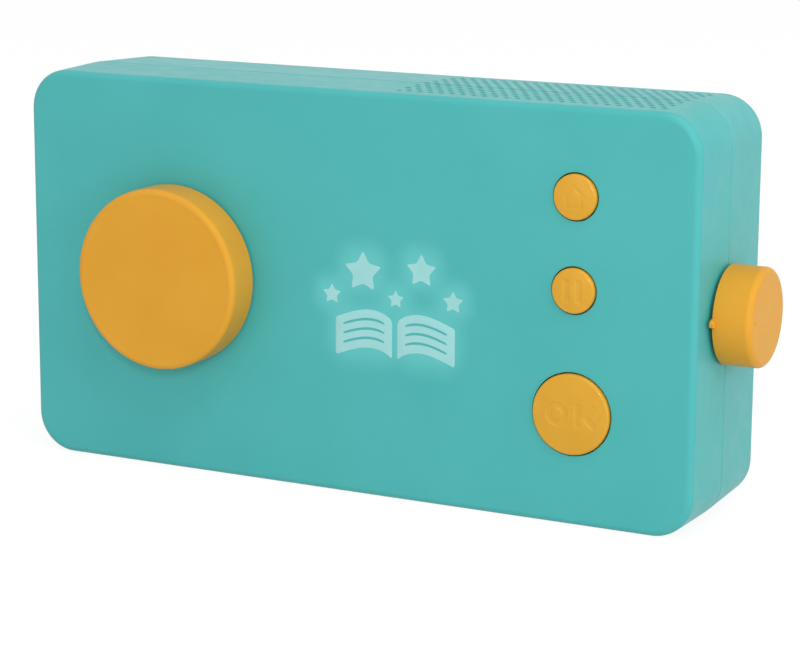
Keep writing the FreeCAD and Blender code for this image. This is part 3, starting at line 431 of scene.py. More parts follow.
patternLooks = {
    # Colours at the pattern's low and high places, the part of its range over which the
    # roughness changes, the roughness at each end of that, and the pattern's depth in metres
    "phenolic": {
        "low": (0.22, 0.12, 0.04, 1), "high": (0.34, 0.20, 0.08, 1),
        "range": noiseSpan, "roughness": (0.35, 0.5), "depth": 0.00001},
    "ribbonFilm": {
        "low": (0.46, 0.19, 0.04, 1), "high": (0.56, 0.26, 0.07, 1),
        "range": (0.0, 1.0), "roughness": (0.25, 0.35), "depth": 0.000004},
    "speakerPaper": {
        "low": (0.03, 0.03, 0.032, 1), "high": (0.07, 0.07, 0.07, 1),
        "range": noiseSpan, "roughness": (0.75, 0.9), "depth": 0.00004},
    # Painted light: the cloth's pale colours lift the shade in the grille's holes
    "speakerCloth": {
        "low": (0.20, 0.58, 0.57, 1), "high": (0.38, 0.78, 0.76, 1),
        "range": (0.0, 1.0), "roughness": (0.7, 0.95), "depth": 0.00006},
    "foam": {
        "low": (0.10, 0.10, 0.105, 1), "high": (0.20, 0.20, 0.21, 1),
        "range": (0.0, 1.0), "roughness": (0.85, 0.98), "depth": 0.00012},
}


def followPattern(tree, shader, pattern, look):
    # Colour, roughness and bump that all follow one pattern
    setInputs(shader, {
        "Base Color": blendColour(tree, pattern, look["low"], look["high"]),
        "Roughness": remap(tree, pattern, *look["range"], *look["roughness"]),
        "Normal": addBump(tree, pattern, look["depth"])})


def phenolic():
    # Brown paper laminate with short pressed fibres
    material, tree, shader = newMaterial("phenolic")
    drawnOut = addNode(tree, "ShaderNodeMapping", {"Vector": objectPoint(tree), "Scale": (1.0, 1.0, 0.2)})
    fibres = noise(tree, size=0.0003, detail=4.0, roughness=0.7, point=drawnOut.outputs["Vector"])
    followPattern(tree, shader, fibres, patternLooks["phenolic"])
    return material


def ribbonFilm():
    # Amber film with the conductors showing as fine stripes across its width
    material, tree, shader = newMaterial("ribbonFilm")
    stripes = addNode(tree, "ShaderNodeTexWave", {
        "Vector": objectPoint(tree), "Scale": 620.0, "Distortion": 0.0, "Detail": 0.0},
        bands_direction="X").outputs["Fac"]
    followPattern(tree, shader, stripes, patternLooks["ribbonFilm"])
    return material


def speakerPaper():
    # Pressed paper cone: tangled fibres, quite matt
    material, tree, shader = newMaterial("speakerPaper")
    fibres = noise(tree, size=0.0005, detail=6.0, roughness=0.75)
    followPattern(tree, shader, fibres, patternLooks["speakerPaper"])
    return material


def speakerCloth():
    # Threads in two sets that cross, pale to lift the shade in the grille's holes: painted light. The
    # weave's own waves are in the cloth's mesh.
    material, tree, shader = newMaterial("speakerCloth")
    point = objectPoint(tree)
    threads = []
    for direction in ("X", "Y"):
        wave = addNode(tree, "ShaderNodeTexWave", {
            "Vector": point, "Scale": 700.0, "Distortion": 0.4, "Detail": 1.0, "Detail Scale": 2.0},
            bands_direction=direction)
        threads.append(wave.outputs["Fac"])
    weave = maths(tree, "MULTIPLY", threads[0], threads[1])
    followPattern(tree, shader, weave, patternLooks["speakerCloth"])
    setInputs(shader, {"Sheen Weight": 0.3, "Sheen Roughness": 0.4})
    return material


def foam():
    # Grey foam with open cells
    material, tree, shader = newMaterial("foam")
    cells = addNode(tree, "ShaderNodeTexVoronoi", {"Vector": objectPoint(tree), "Scale": 2200.0})
    followPattern(tree, shader, cells.outputs["Distance"], patternLooks["foam"])
    return material


# Mesh helpers

def closedFaces(rows, columns, first=0):
    # Quads between rings of points; column after column round each ring, ring after ring
    row, column = np.meshgrid(np.arange(rows - 1), np.arange(columns), indexing="ij")
    after = (column + 1) % columns
    quads = np.stack([row * columns + column, row * columns + after,
                      (row + 1) * columns + after, (row + 1) * columns + column], -1)
    return quads.reshape(-1, 4) + first


def fan(ring, pole):
    # Triangles from a ring of point numbers to one point
    return np.stack([ring, np.roll(ring, -1), np.full(len(ring), pole)], -1)


def buildPiece(name, points, quads, triangles, material, body, sharpAngle=40):
    # Turns the faces outwards by the sign of the volume that they enclose
    corners = np.vstack([quads[:, :3], quads[:, [0, 2, 3]], triangles])
    a, b, c = (points[corners[:, k]] for k in range(3))
    if np.einsum("ij,ij->i", a, np.cross(b, c)).sum() < 0:
        quads, triangles = quads[:, ::-1], triangles[:, ::-1]
    mesh = bpy.data.meshes.new(name)
    mesh.from_pydata(points.tolist(), [], quads.tolist() + triangles.tolist())
    mesh.polygons.foreach_set("use_smooth", [True] * len(mesh.polygons))
    mesh.set_sharp_from_angle(angle=math.radians(sharpAngle))
    mesh.materials.append(material)
    mesh.update()
    piece = bpy.data.objects.new(name, mesh)
    bpy.context.scene.collection.objects.link(piece)
    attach(piece, body)
    return piece


def roundedLine(corners, steps=9, support=0.12 * mm):
    # A line through (radius, height, rounding) corners. Each rounded corner becomes an arc that
    # touches both of its runs, with one more point just outside each end of the arc.
    line = [np.array(corners[0][:2])]
    for before, corner, after in zip(corners, corners[1:], corners[2:]):
        here = np.array(corner[:2])
        rounding = corner[2]
        if rounding == 0:
            line.append(here)
            continue
        toBefore = np.array(before[:2]) - here
        toAfter = np.array(after[:2]) - here
        toBefore /= np.linalg.norm(toBefore)
        toAfter /= np.linalg.norm(toAfter)
        halfAngle = math.acos(np.clip(toBefore @ toAfter, -1, 1)) / 2
        reach = rounding / math.tan(halfAngle)
        bisector = (toBefore + toAfter) / np.linalg.norm(toBefore + toAfter)
        centre = here + bisector * rounding / math.sin(halfAngle)
        start = here + toBefore * reach - centre
        end = here + toAfter * reach - centre
        sweep = math.pi - 2 * halfAngle
        share = np.linspace(0, 1, steps)[:, None]
        arc = (np.sin((1 - share) * sweep) * start + np.sin(share * sweep) * end) / math.sin(sweep)
        line.append(centre + start + toBefore * support)
        line.extend(centre + arc)
        line.append(centre + end + toAfter * support)
    line.append(np.array(corners[-1][:2]))
    return np.array(line)


def discGrid(cells):
    # A square grid pressed into the unit disc, so that its cells stay nearly even: a point of the
    # square at distance s along the longer side goes to radius s, and its angle runs evenly
    side = np.linspace(-1, 1, cells + 1)
    u, v = np.meshgrid(side, side)
    wide = np.abs(u) > np.abs(v)
    safeU = np.where(wide, u, 1.0)
    safeV = np.where(wide | (v == 0), 1.0, v)
    radius = np.where(wide, u, v)
    angle = np.where(wide, math.pi / 4 * v / safeU, math.pi / 2 - math.pi / 4 * u / safeV)
    x = radius * np.cos(angle)
    z = radius * np.sin(angle)
    number = np.arange((cells + 1) ** 2).reshape(cells + 1, cells + 1)
    quads = np.stack([number[:-1, :-1], number[:-1, 1:], number[1:, 1:], number[1:, :-1]], -1)
    border = np.concatenate([number[0, :-1], number[:-1, -1], number[-1, :0:-1], number[:0:-1, 0]])
    return x.ravel(), z.ravel(), quads.reshape(-1, 4), border


def cappedPiece(name, place, wall, cells, field, material, body, bulge=None):
    # A turned piece whose face is a height field. The face is the disc grid, lifted by
    # field(right, up), and the wall is a line of (radius, height) carried round the axis,
    # pushed outwards by bulge(angle, height) where there is one. It ends on the axis.
    right, up, out = (np.array(place[key], float) for key in ("right", "up", "out"))
    x, z, quads, border = discGrid(cells)
    faceRadius = wall[0, 0]
    p, q = x * faceRadius, z * faceRadius
    lift = wall[0, 1] + field(p, q)
    angle = np.arctan2(q[border], p[border])
    rings = wall[1:-1]
    radius = np.repeat(rings[:, :1], len(border), axis=1)
    height = np.repeat(rings[:, 1:], len(border), axis=1)
    if bulge is not None:
        radius = radius + bulge(angle[None, :], height, radius)
    ringP, ringQ = radius * np.cos(angle), radius * np.sin(angle)
    allP = np.concatenate([p, ringP.ravel(), [0.0]])
    allQ = np.concatenate([q, ringQ.ravel(), [0.0]])
    allOut = np.concatenate([lift, height.ravel(), wall[-1:, 1]])
    points = np.array(place["centre"]) + allP[:, None] * right + allQ[:, None] * up + allOut[:, None] * out
    start = len(p)
    columns = len(border)
    firstBand = np.stack([border, np.roll(border, -1), np.roll(np.arange(columns), -1) + start,
                          np.arange(columns) + start], -1)
    lastRing = np.arange(columns) + start + (len(rings) - 1) * columns
    quads = np.vstack([quads[:, ::-1], firstBand, closedFaces(len(rings), columns, start)])
    return buildPiece(name, points, quads, fan(lastRing, len(points) - 1), material, body)


def strokeDistance(x, z, start, end):
    # Distance from each point to the line between two ends
    run = np.array(end, float) - np.array(start, float)
    share = np.clip(((x - start[0]) * run[0] + (z - start[1]) * run[1]) / (run @ run), 0, 1)
    return np.hypot(x - start[0] - share * run[0], z - start[1] - share * run[1])


def barDistance(x, z, centre, halfSize, corner):
    # Signed distance to an upright bar with rounded corners, below nought inside it
    beyondX = np.abs(x - centre[0]) - halfSize[0] + corner
    beyondZ = np.abs(z - centre[1]) - halfSize[1] + corner
    outside = np.hypot(np.maximum(beyondX, 0), np.maximum(beyondZ, 0))
    return outside + np.minimum(np.maximum(beyondX, beyondZ), 0) - corner


def engraved(distance, depth, slope):
    # How far the face goes in: the full depth inside the mark, eased to nought over its slope
    share = np.clip(0.5 - distance / slope, 0, 1)
    return depth * share * share * (3 - 2 * share)


def frontPlace(x, y, z):
    # Axes of a turned piece on the front: it is seen with x to the right and faces along -y
    return {"centre": (x, y, z), "right": (1, 0, 0), "up": (0, 0, 1), "out": (0, -1, 0)}


# Selector knob

selector = {
    "radius": 19.3 * mm,
    "skirtWall": 2.0 * mm,
    "faceWall": 2.0 * mm,
    "lip": 0.5 * mm,           # level ring between the face and the rounded rim
    "rimRound": 1.2 * mm,
    "skirtRound": 0.3 * mm,
    "bossRadius": 5.5 * mm,
    "bossStart": 2.8 * mm,     # height of the boss's end over the skirt's
    "boreRadius": 3.05 * mm,
    "boreFlat": 1.55 * mm,     # from the axis to the flat in the bore
    "boreDepth": 6.85 * mm,
    "crown": 0.05 * mm,        # how much the face rises to its middle
    "cells": 96,
}


def flatInBore(look, angle, ringRadius):
    # Moves the bore's points on its flat side, at angle nought, in to the flat
    inBore = ringRadius < look["boreRadius"] + 0.01 * mm
    toFlat = look["boreFlat"] / np.maximum(np.cos(angle), 0.01)
    return inBore * (np.minimum(toFlat, ringRadius) - ringRadius)


def selectorKnob(material):
    # A turned cup with a boss: face, rounded rim, side, skirt, inside, boss, bore and the bore's
    # end. Over its own edge, at radius R, the face rises by crown * (1 - (r / R)^2).
    low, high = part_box("selector_knob")
    x = (low[0] + high[0]) / 2
    z = (low[2] + high[2]) / 2
    height = high[1] - low[1]
    radius = selector["radius"]
    inside = height - selector["faceWall"]
    rim = selector["rimRound"]
    skirt = selector["skirtRound"]
    wall = roundedLine([
        (radius - rim - selector["lip"], height, 0),
        (radius, height, rim),
        (radius, 0.0, skirt),
        (radius - selector["skirtWall"], 0.0, skirt),
        (radius - selector["skirtWall"], inside, rim),
        (selector["bossRadius"], inside, 0),
        (selector["bossRadius"], selector["bossStart"], skirt),
        (selector["boreRadius"], selector["bossStart"], 0),
        (selector["boreRadius"], selector["boreDepth"], 0),
        (0.0, selector["boreDepth"], 0),
    ])

    def face(p, q):
        share = np.hypot(p, q) / wall[0, 0]
        return selector["crown"] * (1 - share ** 2) - selector["crown"]

    def bore(angle, level, ringRadius):
        return flatInBore(selector, angle, ringRadius)

    place = frontPlace(x, high[1], z)
    knob = cappedPiece("selectorKnob", place, wall, selector["cells"], face, material, "selector", bore)
    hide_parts("selector_knob")
    return knob


# Buttons

button = {
    "edgeRound": 0.6 * mm,
    "lip": 0.1 * mm,           # sloping ring between the face and the rounded edge
    "lipRise": 0.03 * mm,
    "dome": 0.3 * mm,          # the face's middle over the rounded edge
    "flangeThickness": 1.1 * mm,
    "flangeRound": 0.2 * mm,
    "postRadius": 2.2 * mm,
    "markSlope": 0.55 * mm,
}

buttons = {
    "home": {"radius": 4.6 * mm, "cells": 120, "stroke": 0.62 * mm, "markDepth": 0.07 * mm},
    "pause": {"radius": 4.6 * mm, "cells": 120, "stroke": 1.2 * mm, "markDepth": 0.15 * mm},
    "ok": {"radius": 8.3 * mm, "cells": 180, "stroke": 1.2 * mm, "markDepth": 0.12 * mm},
}


def homeMark(x, z, stroke):
    # The outline of a house as five strokes: two roof slopes, two walls and a sill
    lines = [((-2.2, 0.1), (0.0, 2.1)), ((0.0, 2.1), (2.2, 0.1)), ((-1.5, 0.3), (-1.5, -2.0)),
             ((1.5, 0.3), (1.5, -2.0)), ((-1.5, -2.0), (1.5, -2.0))]
    distance = [strokeDistance(x, z, np.array(a) * mm, np.array(b) * mm) for a, b in lines]
    return np.min(distance, axis=0) - stroke / 2


def pauseMark(x, z, stroke):
    # Two upright bars, one each side of the middle
    half = (stroke / 2, 2.2 * mm)
    return np.minimum(barDistance(x, z, (-1.3 * mm, 0.0), half, 0.2 * mm),
                      barDistance(x, z, (1.3 * mm, 0.0), half, 0.2 * mm))


def okMark(x, z, stroke):
    # An O, which is a ring, and a K, which is a stem with an arm and a leg
    half = stroke / 2
    centre, reach = -2.8 * mm, 2.35 * mm - half
    ring = np.abs(np.hypot(x - centre, z) - reach) - half
    stem = barDistance(x, z, (1.7 * mm, 0.0), (half, 2.35 * mm), 0.1 * mm)
    arm = strokeDistance(x, z, (2.3 * mm, -0.35 * mm), (4.9 * mm, 1.85 * mm)) - half
    leg = strokeDistance(x, z, (3.1 * mm, 0.3 * mm), (5.0 * mm, -1.85 * mm)) - half
    return np.min([ring, stem, arm, leg], axis=0)


marks = {"home": homeMark, "pause": pauseMark, "ok": okMark}


def pushButton(name, material):
    # A turned piece: domed face, rounded edge, plain wall, flange and the post behind it. Over
    # its own edge, at radius R, the face rises by (dome - lipRise) * (1 - (r / R)^2), less the
    # mark's depth where the mark is.
    look = buttons[name]
    low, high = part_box(name + "_button")
    x = (low[0] + high[0]) / 2
    z = (low[2] + high[2]) / 2
    radius = look["radius"]
    flangeRadius = (high[0] - low[0]) / 2
    top = high[1] - low[1]
    rimHeight = top - button["dome"]
    flangeBack = flangeHeight(name, high[1])
    flangeFront = flangeBack + button["flangeThickness"]
    wall = roundedLine([
        (radius - button["edgeRound"] - button["lip"], rimHeight + button["lipRise"], 0),
        (radius, rimHeight, button["edgeRound"]),
        (radius, flangeFront, 0),
        (flangeRadius, flangeFront, button["flangeRound"]),
        (flangeRadius, flangeBack, button["flangeRound"]),
        (button["postRadius"], flangeBack, 0),
        (button["postRadius"], 0.0, button["flangeRound"]),
        (0.0, 0.0, 0),
    ])
    faceRadius = wall[0, 0]

    def face(p, q):
        share = np.hypot(p, q) / faceRadius
        dome = (button["dome"] - button["lipRise"]) * (1 - share ** 2)
        cut = engraved(marks[name](p, q, look["stroke"]), look["markDepth"], button["markSlope"])
        return dome - cut

    place = frontPlace(x, high[1], z)
    cap = cappedPiece(name + "Button", place, wall, look["cells"], face, material, name)
    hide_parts(name + "_button")
    return cap


def flangeHeight(name, backY):
    # Height of the flange's back above the post's end: the CAD points widest from the axis
    points = np.array([vertex.co for vertex in nodes[name + "_button"].data.vertices])
    low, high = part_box(name + "_button")
    fromAxis = np.hypot(points[:, 0] - (low[0] + high[0]) / 2, points[:, 2] - (low[2] + high[2]) / 2)
    widest = points[fromAxis > fromAxis.max() - 0.01 * mm]
    return backY - widest[:, 1].max()


# Volume knob

volume = {
    "radius": 10.1 * mm,
    "lip": 0.3 * mm,
    "rimRound": 1.3 * mm,
    "skirtWall": 1.8 * mm,
    "faceWall": 2.0 * mm,
    "skirtRound": 0.25 * mm,
    "bevel": 0.12 * mm,        # on the skirt's outer edge
    "bossRadius": 5.5 * mm,
    "bossStart": 0.3 * mm,
    "boreRadius": 3.05 * mm,
    "boreFlat": 1.55 * mm,
    "boreDepth": 6.6 * mm,
    "cells": 110,
    "dimple": {"fromRim": 2.3 * mm, "radius": 0.9 * mm, "depth": 0.35 * mm},
    "pointer": {"length": 1.6 * mm, "root": 0.95 * mm, "tip": 0.25 * mm, "thickness": 0.9 * mm},
}


def volumeKnob(material):
    # A turned cup with a boss, like the selector. Its face is flat but for the dimple, which is a
    # smooth step of the distance from its middle, and its skirt swells into a pointer at the front.
    low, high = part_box("volume_knob")
    pointer = volume["pointer"]
    dimple = volume["dimple"]
    radius = volume["radius"]
    z = (low[2] + high[2]) / 2
    y = high[1] - radius
    height = high[0] - low[0]
    rim = volume["rimRound"]
    skirt = volume["skirtRound"]
    bevel = volume["bevel"]
    inside = height - volume["faceWall"]
    thick = pointer["thickness"]
    wall = roundedLine([
        (radius - rim - volume["lip"], height, 0),
        (radius, height, rim),
        (radius, thick + 0.02 * mm, 0),
        (radius, thick - 0.02 * mm, 0),
        (radius, thick - bevel, 0),
        (radius, bevel, 0),
        (radius - bevel, 0.0, 0),
        (radius - volume["skirtWall"], 0.0, 0),
        (radius - volume["skirtWall"], inside, rim),
        (volume["bossRadius"], inside, 0),
        (volume["bossRadius"], volume["bossStart"], skirt),
        (volume["boreRadius"], volume["bossStart"], 0),
        (volume["boreRadius"], volume["boreDepth"], 0),
        (0.0, volume["boreDepth"], 0),
    ])

    def face(p, q):
        # The dimple lies towards the front, which is left as seen from the knob's face
        fromDimple = np.hypot(p + radius - dimple["fromRim"], q)
        share = np.clip(1 - fromDimple / dimple["radius"], 0, 1)
        return -dimple["depth"] * share * share * (3 - 2 * share)

    def nub(angle, level, ringRadius):
        # The pointer: a bluntly pointed bulge of the skirt, towards the front
        along = radius * np.abs(np.abs(angle) - math.pi)
        share = np.clip((pointer["root"] - along) / (pointer["root"] - pointer["tip"]), 0, 1)
        share = share * (2 - share)
        inSkirt = (level < thick) & (ringRadius > radius - 0.2 * mm)
        easing = np.where(level > thick - 0.05 * mm, 0.92, 1.0)
        bulge = pointer["length"] * share * inSkirt * easing
        return bulge + flatInBore(volume, angle - math.pi, ringRadius)

    place = {"centre": (low[0], y, z), "right": (0, 1, 0), "up": (0, 0, 1), "out": (1, 0, 0)}
    knob = cappedPiece("volumeKnob", place, wall, volume["cells"], face, material, "volume", nub)
    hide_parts("volume_knob")
    return knob


# Glowing picture: an open book with stars over it

picture = {
    "middle": (11.7 * mm, 40.8 * mm),
    "proud": 0.02 * mm,        # how far the lit plates stand out of the face
    "sunk": 0.3 * mm,
    "samples": 40,             # points along a page's arch, and along a line of print
    "page": {"width": 13.4 * mm, "height": 8.2 * mm, "arch": 2.1 * mm, "gutter": 0.45 * mm,
             "below": -11.2 * mm},
    "lines": {"levels": (0.26, 0.5, 0.74), "from": 0.14, "to": 0.86, "half": 0.26 * mm,
              "proud": 0.01 * mm, "sunk": 0.2 * mm},
    # Each star's place from the picture's middle, and its reach
    "stars": [(-7.4 * mm, 6.6 * mm, 4.6 * mm), (6.0 * mm, 8.0 * mm, 3.7 * mm),
              (13.2 * mm, 2.2 * mm, 2.5 * mm), (-14.6 * mm, 1.4 * mm, 2.3 * mm),
              (0.2 * mm, 1.6 * mm, 2.0 * mm)],
}


def starOutline(x, z, size, inner=0.52, softness=13, samples=260):
    # Straight sides between five outer and five inner corners, then a running mean round the
    # outline, which rounds every corner alike
    turn = np.arange(11) / 10 * 2 * math.pi + math.pi / 2
    reach = np.where(np.arange(11) % 2 == 0, 1.0, inner) * size
    corners = np.stack([reach * np.cos(turn), reach * np.sin(turn)], -1)
    at = np.linspace(0, 10, samples, endpoint=False)
    side = np.floor(at).astype(int)
    share = (at - side)[:, None]
    sharp = corners[side] * (1 - share) + corners[side + 1] * share
    shifts = range(-(softness // 2), softness // 2 + 1)
    soft = np.mean([np.roll(sharp, shift, axis=0) for shift in shifts], axis=0)
    return soft + np.array([x, z])


def pageOutline(x, z, side):
    # One page of the book: straight inner and outer edges, top and bottom edges arched alike
    page = picture["page"]
    share = np.linspace(0, 1, picture["samples"])
    across = side * (page["gutter"] + share * page["width"])
    bottom = np.stack([x + across, z + page["below"] + pageArch(share)], -1)
    top = bottom[::-1] + np.array([0.0, page["height"]])
    rise = np.linspace(0, 1, 14)[1:-1, None]
    outer = bottom[-1] * (1 - rise) + top[0] * rise
    inner = top[-1] * (1 - rise) + bottom[0] * rise
    sharp = np.vstack([bottom, outer, top, inner])
    return np.mean([np.roll(sharp, shift, axis=0) for shift in range(-1, 2)], axis=0)


def pageArch(share):
    # Rise of a page's top and bottom edges, from its inner side to its outer side
    page = picture["page"]
    return page["arch"] * (np.sin(share ** 0.75 * math.pi) - 0.1 * share)


def printedLine(name, side, level, frontY, material):
    # A line of print, which stays dark: a flat bar swept along the page's arch, blunt at its ends
    x, z = picture["middle"]
    page, lines = picture["page"], picture["lines"]
    samples = picture["samples"]
    run = np.linspace(0, 1, samples)
    share = lines["from"] + (lines["to"] - lines["from"]) * run
    half = lines["half"] * np.sqrt(1.02 - np.abs(2 * run - 1) ** 12)
    across = x + side * (page["gutter"] + share * page["width"])
    along = z + page["below"] + level * page["height"] + pageArch(share)
    front = frontY - picture["proud"] - lines["proud"]
    back = frontY + lines["sunk"]
    corners = ((front, 1), (front, -1), (back, -1), (back, 1))
    points = np.stack([np.stack([across, np.full(samples, y), along + sign * half], -1)
                       for y, sign in corners], 1)
    last = 4 * samples - 1
    quads = np.vstack([closedFaces(samples, 4), [[0, 1, 2, 3], [last, last - 1, last - 2, last - 3]]])
    piece = buildPiece(name, points.reshape(-1, 3), quads, np.zeros((0, 3), int), material, "case")
    return piece


def litShape(name, outline, frontY, material):
    # A thin plate over an outline: rings shrunk towards its middle make the face and the back.
    # Each ring has its size as a share of the outline, and its height as one of the thickness.
    middle = outline.mean(axis=0)
    rows = [(0.35, 1.0), (0.7, 1.0), (0.97, 1.0), (1.0, 0.7), (1.0, 0.0), (0.5, 0.0)]
    thickness = picture["proud"] + picture["sunk"]
    rings = []
    for share, level in rows:
        ring = middle + (outline - middle) * share
        depth = np.full(len(ring), frontY + picture["sunk"] - thickness * level)
        rings.append(np.stack([ring[:, 0], depth, ring[:, 1]], -1))
    frontMiddle = np.array([[middle[0], frontY - picture["proud"], middle[1]]])
    backMiddle = np.array([[middle[0], frontY + picture["sunk"], middle[1]]])
    points = np.vstack(rings + [frontMiddle, backMiddle])
    columns = len(outline)
    quads = closedFaces(len(rows), columns)
    firstRing = np.arange(columns)
    lastRing = firstRing + (len(rows) - 1) * columns
    triangles = np.vstack([fan(firstRing, len(points) - 2)[:, ::-1], fan(lastRing, len(points) - 1)])
    piece = buildPiece(name, points, quads, triangles, material, "case")
    return piece


def glowingPicture(frontY, material, plain):
    # Makes the motifs and returns the middle and half size of each, for the halo
    x, z = picture["middle"]
    outlines = {"litPageLeft": pageOutline(x, z, -1), "litPageRight": pageOutline(x, z, 1)}
    for number, (starX, starZ, size) in enumerate(picture["stars"]):
        outlines["litStar%d" % (number + 1)] = starOutline(x + starX, z + starZ, size)
    for side, word in ((-1, "Left"), (1, "Right")):
        for number, level in enumerate(picture["lines"]["levels"]):
            printedLine("line%s%d" % (word, number + 1), side, level, frontY, plain)
    spots = []
    for name, outline in outlines.items():
        litShape(name, outline, frontY, material)
        low, high = outline.min(axis=0), outline.max(axis=0)
        spots.append((*((low + high) / 2).tolist(), *((high - low) / 2).tolist()))
    return spots


# Cloth under the grille's holes

cloth = {
    "thickness": 0.3 * mm,     # room that the cloth has under the shell
    "yarn": 0.08 * mm,         # thickness of the yarn itself
    "wave": 0.10 * mm,         # how far the yarns rise and dip where they cross
    "pitch": 1.0 * mm,
    "samples": 4,              # rows of points to a yarn
}


def grilleCloth(node, material):
    # A plain weave on a plane that falls away from the seam. Its height over the plane is
    # wave * sin(pi * x / pitch) * sin(pi * y / pitch), once for its top and once for its underside.
    low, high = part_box(node)
    width, length = high[0] - low[0], high[1] - low[1]
    step = cloth["pitch"] / cloth["samples"]
    x, y = np.meshgrid(np.linspace(low[0], high[0], round(width / step) + 1),
                       np.linspace(low[1], high[1], round(length / step) + 1), indexing="ij")
    fromSeam = high[1] - y if node == "grille_cloth_front" else y - low[1]
    tilt = (high[2] - low[2] - cloth["thickness"]) / length
    middle = high[2] - cloth["thickness"] / 2 - tilt * fromSeam
    pitch = cloth["pitch"]
    weave = cloth["wave"] * np.sin(math.pi * x / pitch) * np.sin(math.pi * y / pitch)
    half = cloth["yarn"] / 2
    sides = [np.stack([x, y, middle + weave + lift], -1).reshape(-1, 3) for lift in (half, -half)]
    number = np.arange(x.size).reshape(x.shape)
    top = np.stack([number[:-1, :-1], number[1:, :-1], number[1:, 1:], number[:-1, 1:]], -1).reshape(-1, 4)
    border = np.concatenate([number[:-1, 0], number[-1, :-1], number[:0:-1, -1], number[0, :0:-1]])
    after = np.roll(border, -1)
    edge = np.stack([after, border, border + x.size, after + x.size], -1)
    quads = np.vstack([top, top[:, ::-1] + x.size, edge])
    name = "grilleClothFront" if node == "grille_cloth_front" else "grilleClothRear"
    piece = buildPiece(name, np.vstack(sides), quads, np.zeros((0, 3), int), material, "case", 80)
    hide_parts(node)
    return piece


# Stage

view = {
    "azimuth": 26.972,         # degrees from straight in front, towards the volume knob
    "elevation": 12.236,
    "roll": 0.331,
    "distance": 0.54867,
    "target": (0.003623, 0.0, 0.032968),
    "focalLength": 2581.3,     # in pixels of the picture
    "pictureWidth": 800,
}

studio = {
    "skyStrength": 0.62,
    "panelDistance": 0.9,
    "panels": [
        # Angles in degrees as for the camera, sizes in metres, power in watts
        {"name": "frontPanel", "azimuth": 8, "elevation": 3, "size": (0.9, 0.7), "power": 1.3},
        {"name": "streakPanel", "azimuth": 28, "elevation": 21, "size": (0.05, 0.13), "power": 1.7},
        {"name": "sidePanel", "azimuth": 78, "elevation": 14, "size": (0.6, 0.6), "power": 1.8},
        {"name": "topPanel", "azimuth": 55, "elevation": 62, "size": (0.6, 0.6), "power": 2.7},
    ],
    "floorGrey": 0.75,
    "mottleSize": 0.05,
    "mottle": 1.04,            # how much paler the floor's pale places are
    "floorSize": 6.0,
    "floorShadow": 0.15,       # how much of the floor's white comes from the light on it
    "floorWhite": 0.89,
}


def towards(azimuth, elevation):
    # Unit vector from the object: azimuth 0 is straight in front of it, 90 is at its right
    turn, rise = math.radians(azimuth), math.radians(elevation)
    return Vector((math.sin(turn) * math.cos(rise), -math.cos(turn) * math.cos(rise), math.sin(rise)))


def placeCamera():
    # Looks back at the target from the view's azimuth and elevation, then rolls about that line
    back = towards(view["azimuth"], view["elevation"])
    right = Vector((0, 0, 1)).cross(back).normalized()
    up = back.cross(right)
    tilt = math.radians(view["roll"])
    tiltedRight = right * math.cos(tilt) + up * math.sin(tilt)
    tiltedUp = up * math.cos(tilt) - right * math.sin(tilt)
    lens = bpy.data.cameras.new("camera")
    lens.sensor_width = 36.0
    lens.lens = view["focalLength"] * lens.sensor_width / view["pictureWidth"]
    lens.clip_start, lens.clip_end = 0.01, 20.0
    camera = bpy.data.objects.new("camera", lens)
    bpy.context.scene.collection.objects.link(camera)
    turn = Matrix((tiltedRight, tiltedUp, back)).transposed().to_4x4()
    camera.matrix_world = Matrix.Translation(Vector(view["target"]) + back * view["distance"]) @ turn
    bpy.context.scene.camera = camera


def seenRay(tree):
    # 1 for rays that show a background: from the camera, off gloss or through glass
    path = addNode(tree, "ShaderNodeLightPath", {})
    shown = maths(tree, "MAXIMUM", path.outputs["Is Camera Ray"], path.outputs["Is Glossy Ray"])
    return maths(tree, "MAXIMUM", shown, path.outputs["Is Transmission Ray"])


def lightStudio():
    # A white sky, which lights the object less than it shows, and four soft panels
    world = bpy.data.worlds.new("studio")
    bpy.context.scene.world = world
    world.use_nodes = True
    tree = world.node_tree
    strength = remap(tree, seenRay(tree), 0.0, 1.0, studio["skyStrength"], 1.0)
    setInputs(tree.nodes["Background"], {"Color": (1, 1, 1, 1), "Strength": strength})

    for panel in studio["panels"]:
        lamp = bpy.data.lights.new(panel["name"], "AREA")
        lamp.shape = "RECTANGLE"
        lamp.size, lamp.size_y = panel["size"]
        lamp.energy = panel["power"]
        stand = bpy.data.objects.new(panel["name"], lamp)
        bpy.context.scene.collection.objects.link(stand)
        direction = towards(panel["azimuth"], panel["elevation"])
        place = Vector(view["target"]) + direction * studio["panelDistance"]
        turn = direction.to_track_quat("Z", "Y").to_matrix().to_4x4()
        stand.matrix_world = Matrix.Translation(place) @ turn


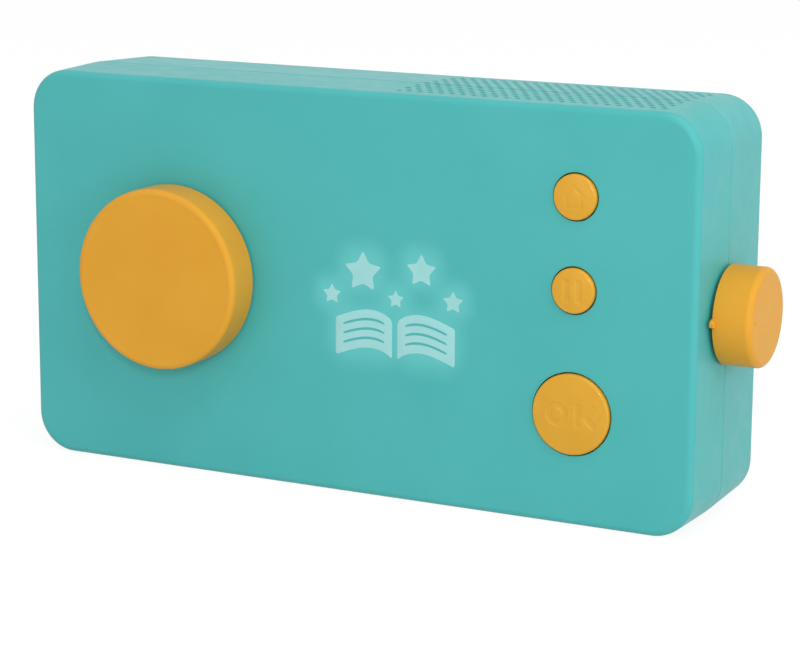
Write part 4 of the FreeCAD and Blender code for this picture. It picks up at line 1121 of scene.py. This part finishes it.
def layFloor():
    # A very slightly mottled pale floor; the part of it that shows is lifted to white
    material, tree, shader = newMaterial("paleFloor")
    tree.nodes.remove(shader)
    mottle = noise(tree, studio["mottleSize"], detail=3.0)
    grey = studio["floorGrey"]
    paler = grey * studio["mottle"]
    plain = addNode(tree, "ShaderNodeBsdfDiffuse", {
        "Color": blendColour(tree, mottle, (grey, grey, grey, 1), (paler, paler, paler, 1))})
    share = studio["floorShadow"]
    lit = addNode(tree, "ShaderNodeBsdfDiffuse", {"Color": (share, share, share, 1)})
    white = addNode(tree, "ShaderNodeEmission", {"Color": (1, 1, 1, 1), "Strength": studio["floorWhite"]})
    shown = addNode(tree, "ShaderNodeAddShader", {0: lit.outputs[0], 1: white.outputs[0]})
    mix = addNode(tree, "ShaderNodeMixShader", {
        0: seenRay(tree), 1: plain.outputs[0], 2: shown.outputs[0]})
    setInputs(tree.nodes["Material Output"], {"Surface": mix.outputs[0]})
    half = studio["floorSize"] / 2
    mesh = bpy.data.meshes.new("floor")
    corners = [(-half, -half, 0), (half, -half, 0), (half, half, 0), (-half, half, 0)]
    mesh.from_pydata(corners, [], [(0, 1, 2, 3)])
    mesh.materials.append(material)
    floor = bpy.data.objects.new("floor", mesh)
    bpy.context.scene.collection.objects.link(floor)


# Putting it together

slotMaterials = {
    "case_plastic": casePlastic, "knob_plastic": knobPlastic, "button_plastic": buttonPlastic,
    "circuit_board": circuitBoard, "milky_plastic": milkyPlastic, "display_glass": displayGlass,
    "ribbon_film": ribbonFilm, "speaker_paper": speakerPaper, "speaker_cloth": speakerCloth,
    "foam": foam, "cell_foil": cellFoil, "lamp_white": lampWhite, "phenolic": phenolic,
}
metalSlots = {"steel": "steel", "nickel": "nickel", "magnet_cup": "magnetCup"}
innerSlots = {
    "black_plastic": "blackPlastic", "white_plastic": "whitePlastic", "chip_black": "chipBlack",
    "wire_red": "wireRed", "wire_black": "wireBlack", "wire_grey": "wireGrey",
}

bpy.context.scene.view_settings.view_transform = "Standard"
placeCamera()
lightStudio()
layFloor()
print("stage set")

made = {slot: make() for slot, make in slotMaterials.items()}
made.update((slot, metal(name)) for slot, name in metalSlots.items())
made.update((slot, innerPlastic(name)) for slot, name in innerSlots.items())
for part in nodes.values():
    for held in part.material_slots:
        held.material = made[held.material.name]
print("materials made,", len(made))

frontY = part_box("front_shell")[0][1]
spots = glowingPicture(frontY, litPlastic(), made["case_plastic"])
nodes["front_shell"].material_slots[0].material = glowingCasePlastic(spots, frontY)
print("picture made,", len(spots), "motifs")

selectorKnob(made["knob_plastic"])
volumeKnob(made["knob_plastic"])
for name in buttons:
    pushButton(name, made["button_plastic"])
print("knobs and buttons made")

grilleCloth("grille_cloth_front", made["speaker_cloth"])
grilleCloth("grille_cloth_rear", made["speaker_cloth"])
print("grille cloths made")
